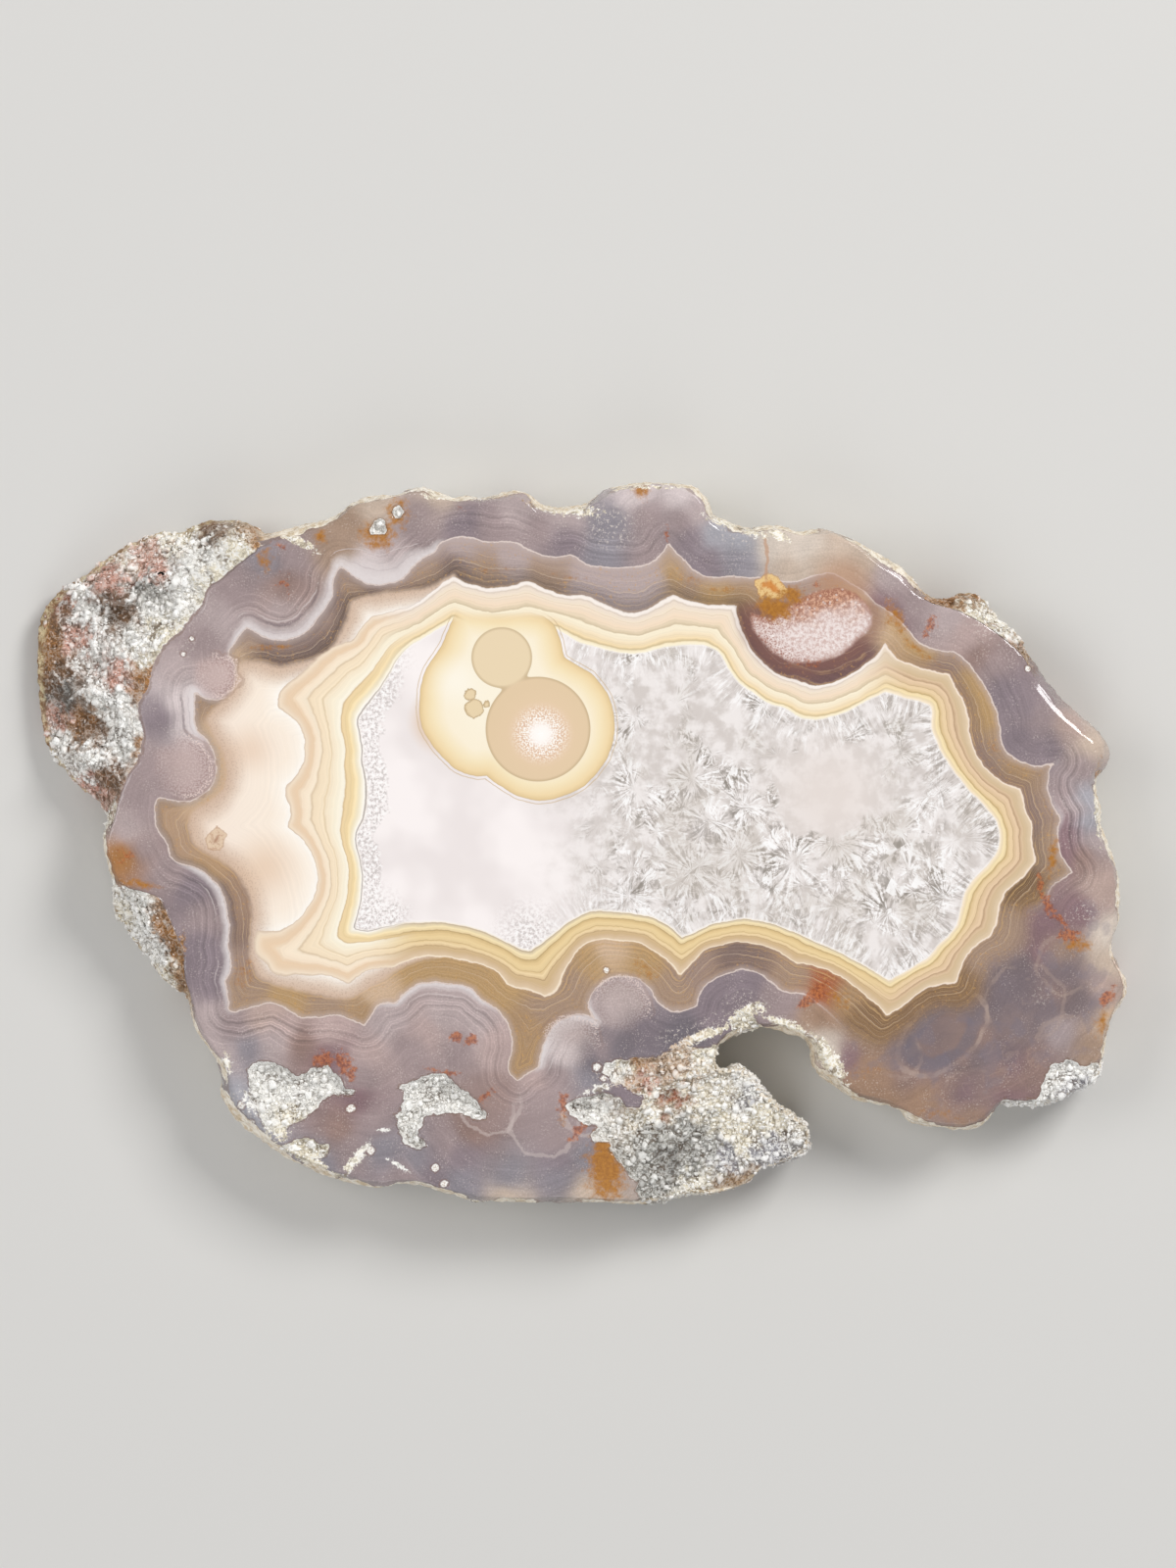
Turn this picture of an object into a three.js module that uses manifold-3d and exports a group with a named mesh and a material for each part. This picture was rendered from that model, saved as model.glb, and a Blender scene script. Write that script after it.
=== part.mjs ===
// A slice of banded agate, lying on its sawn back with its polished face up.
//
// The slice is one solid. Its flat face runs out into a rounded rim of natural skin, which is
// widest at the upper left, where the outside of the nodule slopes away from the face. A deep
// notch opens at the lower right, and rough crusted hollows sink into the lower edge.
//
// Outlines are drawn in millimetres on a sheet, x to the right and y down, as the slice is seen
// from above. Heights are millimetres above the sawn back.
import * as THREE from "three";
import { mergeVertices } from "three/addons/utils/BufferGeometryUtils.js";
import Module from "manifold-3d";

const THICKNESS = 9; // from the sawn back to the polished face
const SHEET_CENTRE = new THREE.Vector2(59.25, 86.06); // the middle of the slice on the sheet
const RIM_SPACING = 1.55; // between the points round the thin rims
const SKIN_SPACING = 1.15; // and round the sloping skin

const RIM_WIDTH = 0.8; // how far the rounded rim stands out past the flat face, where no width is given
const WIDEST_HEIGHT = 4.2; // height of the widest outline on the thin rims
const SKIN_WIDEST_HEIGHT = 2.4; // and where the natural skin slopes away
const BACK_INSET = 0.9; // how far the sawn back lies inside the widest outline
const RIM_RINGS = 9; // steps from the face's edge down to the widest outline
const UNDER_RINGS = 2; // steps from there down to the back
const RIM_LUMP = 0.35; // height of the lumps on the thin rims
const SKIN_LUMP = 1.3; // and on the sloping skin
const LEDGE_HEIGHT = 1.2; // how far the skin rises above a ledge line and sinks below it
const LEDGE_WIDTH = 1.1; // half the width of the bank between the two

const HOLLOW_STEP = 1.05; // spacing of the points on a hollow's floor
const HOLLOW_MARGIN = 1.6; // how far a hollow's cutter reaches past its outline
const HOLLOW_KNOBS = 0.3; // height of the knobs on its floor, as a share of its depth
const KNOB_FINENESS = 2.1; // how many times closer together the knobs stand than the lumps of the rim
const HOLLOW_WALL_SLOPE = 1.6; // how steeply its wall falls, in mm per mm
const CUTTER_TOP = THICKNESS + 4;

// The widest outline, clockwise on the sheet. A third number is the width of the rim there.
// Where the natural skin shows beside the face, a second line gives the face's own edge.
// A ledge is a line across the skin, from left to right, with the higher skin above it.
const STRETCHES = [
  {
    // The big lobe of natural skin at the left.
    skin: [
      [10.8, 83.3], [10, 82.2], [8.8, 81.3], [7.5, 80.3], [6.3, 79], [5.2, 77.7], [4.3, 76.3],
      [3.8, 74.7], [3.6, 73], [3.4, 71], [3.2, 69], [3.2, 67], [3.3, 65.5], [3.4, 64], [3.7, 62.5],
      [4.6, 61.1], [6, 59.7], [8, 58.5], [10, 57], [12, 55.6], [14, 54.6], [16, 54], [17.8, 54.1],
      [19.2, 53.5], [20.5, 52.9], [22.5, 52.7], [24.5, 52.9], [25.8, 53.5], [26.8, 54.1],
    ],
    face: [
      [11.6, 83.9], [12, 82.4], [12.6, 80.6], [13.3, 79], [14.3, 78], [14.8, 76.8], [15, 75],
      [14.7, 73.5], [14.4, 72.2], [15, 71.2], [15.7, 70], [15.8, 68.8], [16.4, 67.5], [17, 66.2],
      [18, 65.2], [19, 64.5], [19.4, 63.5], [20.5, 62.5], [21.2, 61.2], [21, 60.4], [22, 59.7],
      [23.2, 58.8], [24.5, 57.6], [25.8, 56.6], [26.6, 55.9], [27.4, 55.5],
    ],
    ledge: [[2.5, 60.5], [6.5, 60.2], [9.8, 60.8], [13, 61.6], [15.5, 60.2], [18.5, 60.4], [30, 59.8]],
  },
  {
    // Along the top, over two small humps and the broad one.
    skin: [
      [26.8, 54.1, 1.6], [28.3, 53.9, 1.8], [30, 53.6, 1.8], [32, 53, 1.3], [34, 52.4],
      [35.2, 51.5], [36.5, 50.7], [38.2, 50.3], [40, 50.3], [40.8, 49.9], [42, 49.6], [43.5, 49.6],
      [44.8, 50.1, 1], [45.8, 50.5, 1], [47.5, 50.3], [49.2, 50.5, 1.2], [50.5, 50.3, 1],
      [51.5, 50], [53, 49.9], [54.2, 50.3, 1], [55, 51, 1.6], [56, 51.5, 1.9], [57.5, 51.4, 1.8],
      [59, 51.4, 1.2], [60, 51.2, 0.9], [60.6, 50.6], [61.3, 49.9], [62.5, 49.5], [64.5, 49.1],
      [67, 49], [69.5, 49.2], [71.2, 49.7], [72.2, 50.5], [72.7, 51.5, 1.2], [72.8, 52.2, 1.4],
    ],
  },
  {
    // Down the long upper right edge to the bump.
    skin: [
      [72.8, 52.2, 1.4], [73.8, 52.7, 1.9], [74.8, 53.2, 1.8], [76, 53.6, 1.4], [77.2, 53.6, 1.2],
      [78.2, 53.4, 1.2], [79.5, 53.3], [80.3, 53.5], [81.2, 54], [82.5, 54], [83.8, 53.8, 0.7],
      [85, 54, 0.7], [86.5, 54.5, 0.7], [88, 55.2], [89.5, 56.1, 1.2], [91, 57.1, 1.5],
      [92.5, 58, 1.5], [93.5, 58.9, 1.3], [94.3, 60, 1.2], [95.3, 60.7, 1],
    ],
  },
  {
    // The bump of skin that stands out behind the face.
    skin: [
      [95.3, 60.7], [96.6, 60.9], [97.5, 60.7], [98.5, 60.2], [99.5, 60.2], [100.5, 60.7],
      [101.3, 61.8], [102.2, 63], [103.5, 64.1], [104.5, 65.3], [105.3, 66.5], [106, 67.6],
    ],
    face: [
      [95, 61.6], [96, 61.9], [97.5, 62.2], [99, 63], [100.5, 63.8], [102, 64.9], [103.5, 66.1],
      [104.4, 66.9], [105, 67.7], [105.2, 68.5],
    ],
  },
  {
    // The right edge, with its two crusted dips.
    skin: [
      [106, 67.6, 1.2], [106.5, 68.8, 1.4], [107.5, 69.7, 1.5], [108.5, 71, 1.6], [109.5, 72, 1.6],
      [110.5, 72.8, 1.6], [111.7, 73.9, 1.7], [112.7, 74.8, 1.8], [113.3, 75.7, 1.8],
      [113.6, 76.7, 1.6], [113.4, 77.8, 1.3], [112.8, 78.8, 1.3], [112.3, 79.3, 1.6],
      [112.2, 80.5, 1.6], [112.6, 81.7, 1.2], [112.8, 82.8, 1], [112.5, 83.8], [112.7, 84.6],
      [113.3, 85.7, 1.1], [113.7, 86.8, 1], [113.9, 87.7], [114.3, 88.4], [114.5, 89.5, 0.9],
      [114.6, 91, 1], [114.5, 92.5, 1], [114.4, 93.5], [114.3, 95], [113.8, 96], [113.7, 97],
      [114, 98.2], [114.8, 99.3], [115.3, 100.3], [115.2, 101.5],
    ],
  },
  {
    // Round the lower right lobe to the mouth of the notch.
    skin: [
      [115.2, 101.5], [114.6, 102.8], [113.8, 103.8], [113.4, 105.2], [113.1, 106.5], [113, 108],
      [112.6, 109.2], [112, 110.2], [110.5, 111.3], [109, 112.1], [107.5, 112.8], [106, 113.1],
      [104.5, 112.9], [103.2, 112.7], [102.2, 112.8], [101.5, 113.6], [101, 114.5], [100, 115.2],
      [98.5, 115.5], [97, 115.4], [95.5, 115.2], [94, 115.1], [93, 114.7], [92.2, 114],
      [91.5, 113.2], [90.5, 112.9], [89, 112.7], [87.5, 112.5],
    ],
  },
  {
    // The notch, and the blunt tip of crust below it.
    skin: [
      [87.5, 112.5], [86.2, 111.8, 1], [85, 111, 1.2], [84.5, 110.3, 1.5], [83.5, 109.8, 1.6],
      [83, 109, 1.6], [82.8, 107.7, 1.5], [82.5, 106.7, 1.3], [81.8, 106.1, 1.1], [80.5, 105.7, 1],
      [79.5, 105.2, 0.9], [78.5, 105], [77.2, 105.1], [75.8, 105.4], [74.5, 106.1], [73.3, 107],
      [72.7, 108], [72.9, 108.9], [73.5, 109.5], [74.3, 109.3], [75, 108.8], [75.8, 108.8],
      [76.5, 109.4], [77, 110.1], [77.8, 111], [78.7, 112.1], [79.8, 113], [81, 113.7],
      [82, 114.6], [82.6, 115.8], [82.6, 117], [82, 118.1], [80.8, 118.6],
    ],
  },
  {
    // The bottom edge, and up the lower left.
    skin: [
      [80.8, 118.6], [79.5, 119], [77.8, 119.4], [76.8, 120.3], [75.7, 121.1], [74.5, 121.7],
      [73, 121.9], [71.2, 121.9], [70, 122.2], [68.5, 122.7], [66.8, 123.1], [65, 123.1],
      [62.5, 123], [60, 123], [57.5, 122.9], [55, 122.9], [52.5, 123], [50, 122.9], [48, 122.6],
      [46.2, 122.2], [44.8, 121.9], [43.5, 121.4], [42.5, 121], [41.5, 121.1], [40.5, 121],
      [39.5, 121.3], [37.8, 121.3], [36, 121.1], [34.5, 120.7, 1], [33, 120.2, 1.2],
      [31.5, 119.6, 1.3], [30, 118.9, 1.4], [28.5, 118.1, 1.5], [27, 117.1, 1.6],
      [25.7, 116.1, 1.8], [24.5, 115, 2], [23.5, 114, 2], [22.7, 112.8, 1.9], [22.2, 111.7, 1.7],
      [22.4, 110.5, 1.5], [22.2, 109.5, 1.3], [21.9, 108.3, 1], [21.2, 107.5], [20.3, 106.2],
      [19.7, 105], [19.2, 103.7], [19.1, 102.5], [18.8, 101.8],
    ],
  },
  {
    // The smaller patch of skin at the lower left.
    skin: [
      [18.8, 101.8], [17.8, 101.3], [16.5, 100.4], [15.5, 99.3], [15, 98.2], [13.8, 97],
      [12.8, 95.8], [12.2, 94.5], [11.6, 93.8], [11.2, 92.8], [11.1, 91.5], [11.3, 90.5],
    ],
    face: [
      [19.4, 101.2], [18.9, 100.2], [18.8, 99], [18.9, 97.5], [18.4, 96], [17.9, 95], [17.5, 93.8],
      [16.9, 92.6], [16.8, 91.7], [16.1, 91.3], [14.8, 91], [13.5, 90.6], [12.3, 90],
    ],
  },
  {
    // The short stretch between the two patches of skin.
    skin: [
      [11.3, 90.5], [11.3, 89.3], [10.7, 88.3], [10.3, 87], [10.2, 85.8], [10.5, 84.5], [10.8, 83.3],
    ],
  },
];

// Rough hollows in the face. An outline may run out past the rim, where the hollow opens sideways.
const HOLLOWS = [
  {
    // White crust at the lower left.
    depth: 1.1,
    outline: [
      [25.2, 109], [26.2, 108.3], [28, 108.2], [29.7, 109.2], [30.3, 109.7], [32.2, 109],
      [33.5, 108.7], [34.5, 109.7], [35.5, 111], [36.2, 111.3], [35.5, 112], [34, 111.8],
      [33, 112.2], [32.2, 113.5], [31, 114], [29.8, 114.8], [28, 115.5], [26.8, 115],
      [26.2, 113.5], [25.5, 112],
    ],
  },
  {
    // The small crusted spot below it.
    depth: 0.7,
    outline: [
      [28.2, 117.2], [30, 116.2], [31.5, 116], [32.5, 116.6], [33.8, 116.8], [33.2, 118],
      [31.8, 118.5], [30.3, 118.3],
    ],
  },
  {
    // The crescent hollow.
    depth: 1.5,
    outline: [
      [40.6, 111], [42, 110.2], [44, 109.4], [45.5, 109.7], [47, 110.8], [48.5, 112.2],
      [49.5, 113.5], [49.7, 114.3], [48.5, 114.3], [47, 113.7], [45, 113.7], [43.5, 114.2],
      [42.7, 115.2], [43.2, 117], [42.5, 117.5], [41.2, 116.5], [40.4, 115], [40.3, 113.8],
      [41.2, 112.6], [41, 111.8],
    ],
  },
  {
    // The ledge along the top of the broad crust, beside the notch.
    depth: 0.6,
    outline: [
      [61.8, 108.4], [64, 108], [67, 107.8], [69, 107], [71, 107], [73, 106.6], [74.6, 107.4],
      [74.8, 109.6], [72.5, 110.4], [70, 111], [67, 111.6], [65, 111.9], [63.5, 111], [62.5, 110.3],
      [61.4, 109.5],
    ],
  },
  {
    // The broad crust that takes up the lower right tip.
    depth: 1.7,
    outline: [
      [65, 110.6], [67, 110.2], [70, 109.9], [73, 109.2], [74.6, 107.8], [76.4, 107.4],
      [78.5, 109.6], [80.5, 111.8], [84, 113.8], [84.4, 118.8], [79, 121.4], [72, 124.2],
      [66, 124.6], [65.5, 122.8], [64.5, 121.5], [65, 120.5], [63.5, 119.5], [62.5, 118],
      [62, 116.8], [60.5, 116.5], [60, 115.8], [61, 115], [59.5, 114.7], [58.5, 114], [57.6, 113],
      [58.5, 112], [60, 111.7], [61.5, 111.5], [63, 112], [64, 112.8], [65.3, 112.9], [65.6, 112],
    ],
  },
  {
    // Crust over the top of the notch.
    depth: 0.8,
    outline: [[74.6, 104.4], [75.4, 103.3], [76.6, 103.5], [77.8, 104.7], [77.4, 106], [75, 106.4]],
  },
  {
    // The knobbly corner of the lower right lobe.
    depth: 0.6,
    outline: [
      [106.4, 109.8], [107.5, 108.6], [109, 108], [110.5, 108.8], [111.8, 108.3], [113.6, 108.4],
      [113.6, 110.4], [111, 113], [107, 114.4], [103, 114], [101.8, 113.4], [102.4, 112.2],
      [104, 112.3], [105.6, 112.2], [106.2, 111.2],
    ],
  },
  {
    // The larger of the two ringed holes near the top.
    depth: 1,
    outline: [
      [37.7, 53.9], [38.1, 53.1], [38.9, 53], [39.6, 53.6], [39.5, 54.5], [38.7, 54.9], [37.9, 54.6],
    ],
  },
  {
    // The smaller one beside it.
    depth: 0.8,
    outline: [[40, 51.6], [40.8, 51.5], [41.3, 52.2], [41, 53], [40.3, 53], [39.9, 52.3]],
  },
];

// Slow waves that run in different directions and don't repeat over the slice. Each entry turns a
// millimetre of x, y and z into radians. Together they give a smooth, lumpy relief from -1 to 1.
const LUMP_WAVES = [
  { along: [0.83, 0.31, 0.41], start: 0.3 },
  { along: [-0.52, 0.94, 0.37], start: 1.9 },
  { along: [0.74, -0.91, 0.62], start: 4.1 },
  { along: [1.32, 0.88, -0.71], start: 2.2 },
  { along: [-1.05, 1.28, 0.9], start: 5.3 },
];

function lumps(x, y, z) {
  const total = LUMP_WAVES.reduce(
    (sum, { along: [a, b, c], start }) => sum + Math.sin(a * x + b * y + c * z + start),
    0,
  );
  return total / LUMP_WAVES.length;
}

// A point of the sheet in the part's own frame, where y runs up.
const placed = ([x, y]) => new THREE.Vector2(x - SHEET_CENTRE.x, SHEET_CENTRE.y - y);

function spaced(points, count) {
  const through = points.map(([x, y, width = RIM_WIDTH]) => {
    const at = placed([x, y]);
    return new THREE.Vector3(at.x, at.y, width);
  });
  return new THREE.CatmullRomCurve3(through, false, "centripetal").getSpacedPoints(count);
}

// Columns round the rim, counterclockwise from above: where the widest outline and the face's
// edge stand, which way is out, and how far the skin slopes there, from 0 on a thin rim to 1.
function rimColumns() {
  const columns = [];
  for (const { skin, face, ledge } of STRETCHES) {
    const length = skin
      .slice(1)
      .reduce((sum, [x, y], i) => sum + Math.hypot(x - skin[i][0], y - skin[i][1]), 0);
    const count = Math.max(3, Math.round(length / (face ? SKIN_SPACING : RIM_SPACING)));
    const outer = spaced(skin, count);
    const inner = face ? spaced(face, count) : null;
    for (let i = 0; i < count; i += 1) {
      columns.push({
        outer: new THREE.Vector2(outer[i].x, outer[i].y),
        width: outer[i].z,
        inner: inner && new THREE.Vector2(inner[i].x, inner[i].y),
        slope: face ? 1 : 0,
        ledge,
      });
    }
  }
  columns.reverse();
  const around = (i) => columns[(i + columns.length) % columns.length];
  columns.forEach((column, i) => {
    const along = around(i + 2).outer.clone().sub(around(i - 2).outer).normalize();
    column.out = new THREE.Vector2(along.y, -along.x);
    column.slopeNear = (around(i - 1).slope + column.slope + around(i + 1).slope) / 3;
    column.edge = column.inner ?? column.outer.clone().addScaledVector(column.out, -column.width);
  });
  return columns.map((column, i) => ({
    outer: column.outer,
    out: column.out,
    slope: column.slopeNear,
    ledge: column.ledge,
    edge: column.edge
      .clone()
      .multiplyScalar(2)
      .add(around(i - 1).edge)
      .add(around(i + 1).edge)
      .divideScalar(4),
  }));
}

// What a ledge adds to the height of the skin at a point.
function ledgeRise(ledge, at) {
  const line = ledge.map(placed);
  const next = line.findIndex(({ x }) => x > at.x);
  const [a, b] = [line[next - 1], line[next]];
  const lineY = THREE.MathUtils.mapLinear(at.x, a.x, b.x, a.y, b.y);
  return LEDGE_HEIGHT * THREE.MathUtils.clamp((at.y - lineY) / LEDGE_WIDTH, -1, 1);
}

// The points of one column, from the face's edge down to the back.
function columnPoints({ outer, edge, out, slope, ledge }) {
  const widest = THREE.MathUtils.lerp(WIDEST_HEIGHT, SKIN_WIDEST_HEIGHT, slope);
  const points = [];
  for (let ring = 0; ring <= RIM_RINGS; ring += 1) {
    const down = ring / RIM_RINGS;
    const turn = (down * Math.PI) / 2;
    const across = THREE.MathUtils.lerp(Math.sin(turn), down, slope / 2);
    const fall = THREE.MathUtils.lerp(1 - Math.cos(turn), down, slope / 2);
    const at = edge.clone().lerp(outer, across);
    const z = THICKNESS - (THICKNESS - widest) * fall;
    const swell = Math.sin(Math.PI * down);
    const lump = lumps(at.x, at.y, z);
    const rise = SKIN_LUMP * lump + (ledge ? ledgeRise(ledge, at) : 0);
    at.addScaledVector(out, swell * RIM_LUMP * lump);
    points.push([at.x, at.y, Math.min(z + slope * swell * rise, THICKNESS)]);
  }
  for (let ring = 1; ring <= UNDER_RINGS; ring += 1) {
    const under = ring / UNDER_RINGS;
    const at = outer.clone().addScaledVector(out, -BACK_INSET * under * under);
    points.push([at.x, at.y, widest * (1 - under)]);
  }
  return points;
}

function solidFrom(positions, triangles) {
  const geometry = new THREE.BufferGeometry();
  geometry.setAttribute("position", new THREE.Float32BufferAttribute(positions.flat(), 3));
  geometry.setIndex(triangles.flat());
  const merged = mergeVertices(geometry, 1e-4);
  return new wasm.Manifold(
    new wasm.Mesh({
      numProp: 3,
      vertProperties: merged.attributes.position.array,
      triVerts: new Uint32Array(merged.index.array),
    }),
  );
}

// The slice before its hollows: a face, the rim columns and a back, closed into one solid.
function slabSolid() {
  const columns = rimColumns().map(columnPoints);
  const rings = columns[0].length;
  const positions = columns.flat();
  const triangles = [];
  columns.forEach((_, i) => {
    const here = i * rings;
    const next = ((i + 1) % columns.length) * rings;
    for (let step = 0; step + 1 < rings; step += 1) {
      triangles.push([here + step, here + step + 1, next + step + 1]);
      triangles.push([here + step, next + step + 1, next + step]);
    }
  });
  const cap = (step, upward) => {
    const loop = columns.map((points) => new THREE.Vector2(points[step][0], points[step][1]));
    for (const [a, b, c] of THREE.ShapeUtils.triangulateShape(loop, [])) {
      const corners = [a, b, c].map((i) => i * rings + step);
      triangles.push(upward ? corners : corners.reverse());
    }
  };
  cap(0, true);
  cap(rings - 1, false);
  return solidFrom(positions, triangles);
}

// Distance from a point to a closed outline, positive inside it.
function depthInside(outline, x, y) {
  let nearest = Infinity;
  let inside = false;
  outline.forEach((a, i) => {
    const b = outline[(i + 1) % outline.length];
    const [dx, dy] = [b.x - a.x, b.y - a.y];
    const share = THREE.MathUtils.clamp(((x - a.x) * dx + (y - a.y) * dy) / (dx * dx + dy * dy), 0, 1);
    nearest = Math.min(nearest, Math.hypot(x - a.x - share * dx, y - a.y - share * dy));
    if (a.y > y !== b.y > y && x < ((b.x - a.x) * (y - a.y)) / (b.y - a.y) + a.x) inside = !inside;
  });
  return inside ? nearest : -nearest;
}

// What a hollow takes away: a block whose underside is the hollow's knobbly floor. Outside the
// outline that underside rises above the face, so that the hollow ends where the outline runs.
function hollowCutter({ outline, depth }) {
  const loop = outline.map(placed);
  const box = new THREE.Box2().setFromPoints(loop).expandByScalar(HOLLOW_MARGIN);
  const size = box.getSize(new THREE.Vector2());
  const [across, along] = [size.x, size.y].map((length) => Math.ceil(length / HOLLOW_STEP));
  const floor = [];
  const top = [];
  for (let j = 0; j <= along; j += 1) {
    for (let i = 0; i <= across; i += 1) {
      const [x, y] = [box.min.x + i * HOLLOW_STEP, box.min.y + j * HOLLOW_STEP];
      const inside = depthInside(loop, x, y);
      const bowl = depth * Math.tanh((HOLLOW_WALL_SLOPE * inside) / depth);
      const knob = HOLLOW_KNOBS * depth * lumps(KNOB_FINENESS * x, KNOB_FINENESS * y, 0);
      floor.push([x, y, THICKNESS - (inside > 0 ? bowl - knob * Math.min(1, inside) : inside)]);
      top.push([x, y, CUTTER_TOP]);
    }
  }
  const row = across + 1;
  const lift = floor.length;
  const triangles = [];
  for (let j = 0; j < along; j += 1) {
    for (let i = 0; i < across; i += 1) {
      const [a, b, c, d] = [j * row + i, j * row + i + 1, (j + 1) * row + i + 1, (j + 1) * row + i];
      triangles.push([a, c, b], [a, d, c]);
      triangles.push([a + lift, b + lift, c + lift], [a + lift, c + lift, d + lift]);
    }
  }
  const wall = (a, b) => triangles.push([a, b, b + lift], [a, b + lift, a + lift]);
  for (let i = 0; i < across; i += 1) {
    wall(i, i + 1);
    wall(along * row + i + 1, along * row + i);
  }
  for (let j = 0; j < along; j += 1) {
    wall(j * row + across, (j + 1) * row + across);
    wall((j + 1) * row, j * row);
  }
  return solidFrom([...floor, ...top], triangles);
}

function meshOf(solid, name, material) {
  const { numProp, numVert, vertProperties, triVerts } = solid.getMesh();
  const positions = new Float32Array(numVert * 3);
  for (let i = 0; i < numVert; i += 1) {
    positions.set(vertProperties.subarray(i * numProp, i * numProp + 3), i * 3);
  }
  const geometry = new THREE.BufferGeometry();
  geometry.setAttribute("position", new THREE.BufferAttribute(positions, 3));
  geometry.setIndex(new THREE.BufferAttribute(triVerts, 1));
  geometry.computeVertexNormals();
  const mesh = new THREE.Mesh(geometry, material);
  mesh.name = name;
  return mesh;
}

const wasm = await Module();
wasm.setup();

const agate = new THREE.MeshStandardMaterial({ color: 0xb9a694, roughness: 0.12, metalness: 0 });
const slice = HOLLOWS.map(hollowCutter).reduce((solid, cutter) => solid.subtract(cutter), slabSolid());

const part = new THREE.Group();
part.add(meshOf(slice, "agate_slice", agate));

export default part;
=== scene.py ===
"""A slice of banded agate: its fine surface, its bands and its finish.

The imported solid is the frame. One fine closed mesh stands for it, and small beads that lie on
its crusts. The mesh repeats the solid's outline, rim, skin and hollows and adds the small relief
of the crusts. The bands follow a few contours of the stone. The mesh keeps each point's distance
to them, and the material turns the distances into bands and lines.

Outlines are drawn in millimetres on a sheet, x to the right and y down, as the slice is seen
from above.
"""
import math

import bmesh
import bpy
import numpy as np
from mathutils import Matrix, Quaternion, Vector, geometry, noise


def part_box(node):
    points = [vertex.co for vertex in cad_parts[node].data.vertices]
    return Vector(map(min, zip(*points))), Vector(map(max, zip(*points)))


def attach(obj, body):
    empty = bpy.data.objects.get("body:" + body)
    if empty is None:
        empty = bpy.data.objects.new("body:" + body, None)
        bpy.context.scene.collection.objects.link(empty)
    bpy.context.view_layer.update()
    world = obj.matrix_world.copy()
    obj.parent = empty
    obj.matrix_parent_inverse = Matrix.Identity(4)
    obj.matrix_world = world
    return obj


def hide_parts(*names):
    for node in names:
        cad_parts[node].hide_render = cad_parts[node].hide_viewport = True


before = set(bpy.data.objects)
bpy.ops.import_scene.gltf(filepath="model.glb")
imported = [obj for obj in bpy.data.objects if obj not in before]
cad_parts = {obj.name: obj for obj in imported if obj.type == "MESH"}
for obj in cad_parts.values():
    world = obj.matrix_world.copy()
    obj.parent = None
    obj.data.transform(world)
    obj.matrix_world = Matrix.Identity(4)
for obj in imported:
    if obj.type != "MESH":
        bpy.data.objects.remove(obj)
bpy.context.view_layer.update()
NODE = "agate_slice"

MM = 0.001
BOX_LOW, BOX_HIGH = (np.array(corner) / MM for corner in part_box(NODE))
THICKNESS = BOX_HIGH[2]
AGATE_IOR = 1.54
MIXED_COLOUR = 2  # the place of the mixed colour among the outputs of a Mix node
SHEET_CENTRE = (59.25, 86.06)  # the middle of the slice on the sheet

RIM_SPACING = 1.55  # between the solid's own columns round the thin rims
SKIN_SPACING = 1.15  # and round the sloping skin
BETWEEN_COLUMNS = 4  # fine columns for each column of the solid
RIM_WIDTH = 0.8  # how far the rounded rim stands out past the flat face, where no width is given
WIDEST_HEIGHT = 4.2  # height of the widest outline on the thin rims
SKIN_WIDEST_HEIGHT = 2.4  # and where the natural skin slopes away
BACK_INSET = 0.9  # how far the sawn back lies inside the widest outline
RIM_LUMP = 0.35  # height of the lumps on the thin rims
SKIN_LUMP = 1.3  # and on the sloping skin
LEDGE_HEIGHT = 1.2  # how far the skin rises above a ledge line and sinks below it
LEDGE_WIDTH = 1.1  # half the width of the bank between the two
RING_SPACING = 0.36  # between the points of a fine column
UNDER_RINGS = 9  # steps from the widest outline down to the back

FACE_SPACING = 0.31  # between the points of the face
FINE_QUARTZ = 3.2  # how far inside the quartz these lie; deeper, only one point in four is kept
BACK_SPACING = 0.95  # between the points of the sawn back
LOOP_GAP = 0.14  # the least gap between the face's points and its edge
ONLY_INSIDE = 1  # has a triangulation leave out what lies outside its outline
SAME_PLACE = 1e-7  # how close together two points are for it to take them as one
CONTOUR_SPACING = 0.45  # between the points of the bands' contours
SPLINE_STEPS = 200  # in which the length of a spline is worked out
TILE = 5  # the size of the squares that distances are worked out for together

HOLLOW_KNOBS = 0.3  # height of the knobs on a hollow's floor, as a share of its depth
KNOB_FINENESS = 2.1  # how many times closer together the knobs stand than the lumps of the rim
HOLLOW_WALL_SLOPE = 1.6  # how steeply a hollow's wall falls, in mm per mm
HOLLOW_FRAY = 0.35  # how far a hollow's edge strays from its outline
HOLLOW_FRAY_CYCLES = 0.8  # and the cycles of noise in a mm there
HOLLOW_REACH = 2  # how far outside its outline the distance to a hollow is still worked out
HOLLOW_FAR = 9.0  # and the distance that stands for any further place
GRAIN_HEIGHT = 0.34  # of the grains on a hollow's floor
HOLLOW_GRIT = 0.5  # and of the noise among them, as a share of that
HOLLOW_GRIT_CYCLES = 1.1  # of this noise in a mm
RIM_GRAIN_HEIGHT = 0.22  # of the grains on the thin rims
SKIN_GRAIN_HEIGHT = 0.95  # of the knobs on the sloping skin
SKIN_WRINKLES = 0.35  # and of the wide wrinkles on it, as a share of that
SKIN_GRIT = 0.25  # and of the fine grit
WRINKLE_CYCLES = 0.45  # of noise in a mm, in the wrinkles
GRIT_CYCLES = 1.3  # and in the grit
SKIN_BLUNTNESS = 0.7  # the lower, the nearer to its edges this relief is whole
# The knobs of the skin and crust: how many stand in a mm, and their share of the relief.
KNOB_KINDS = [(0.5, 0.6), (1.2, 0.4)]

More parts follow.
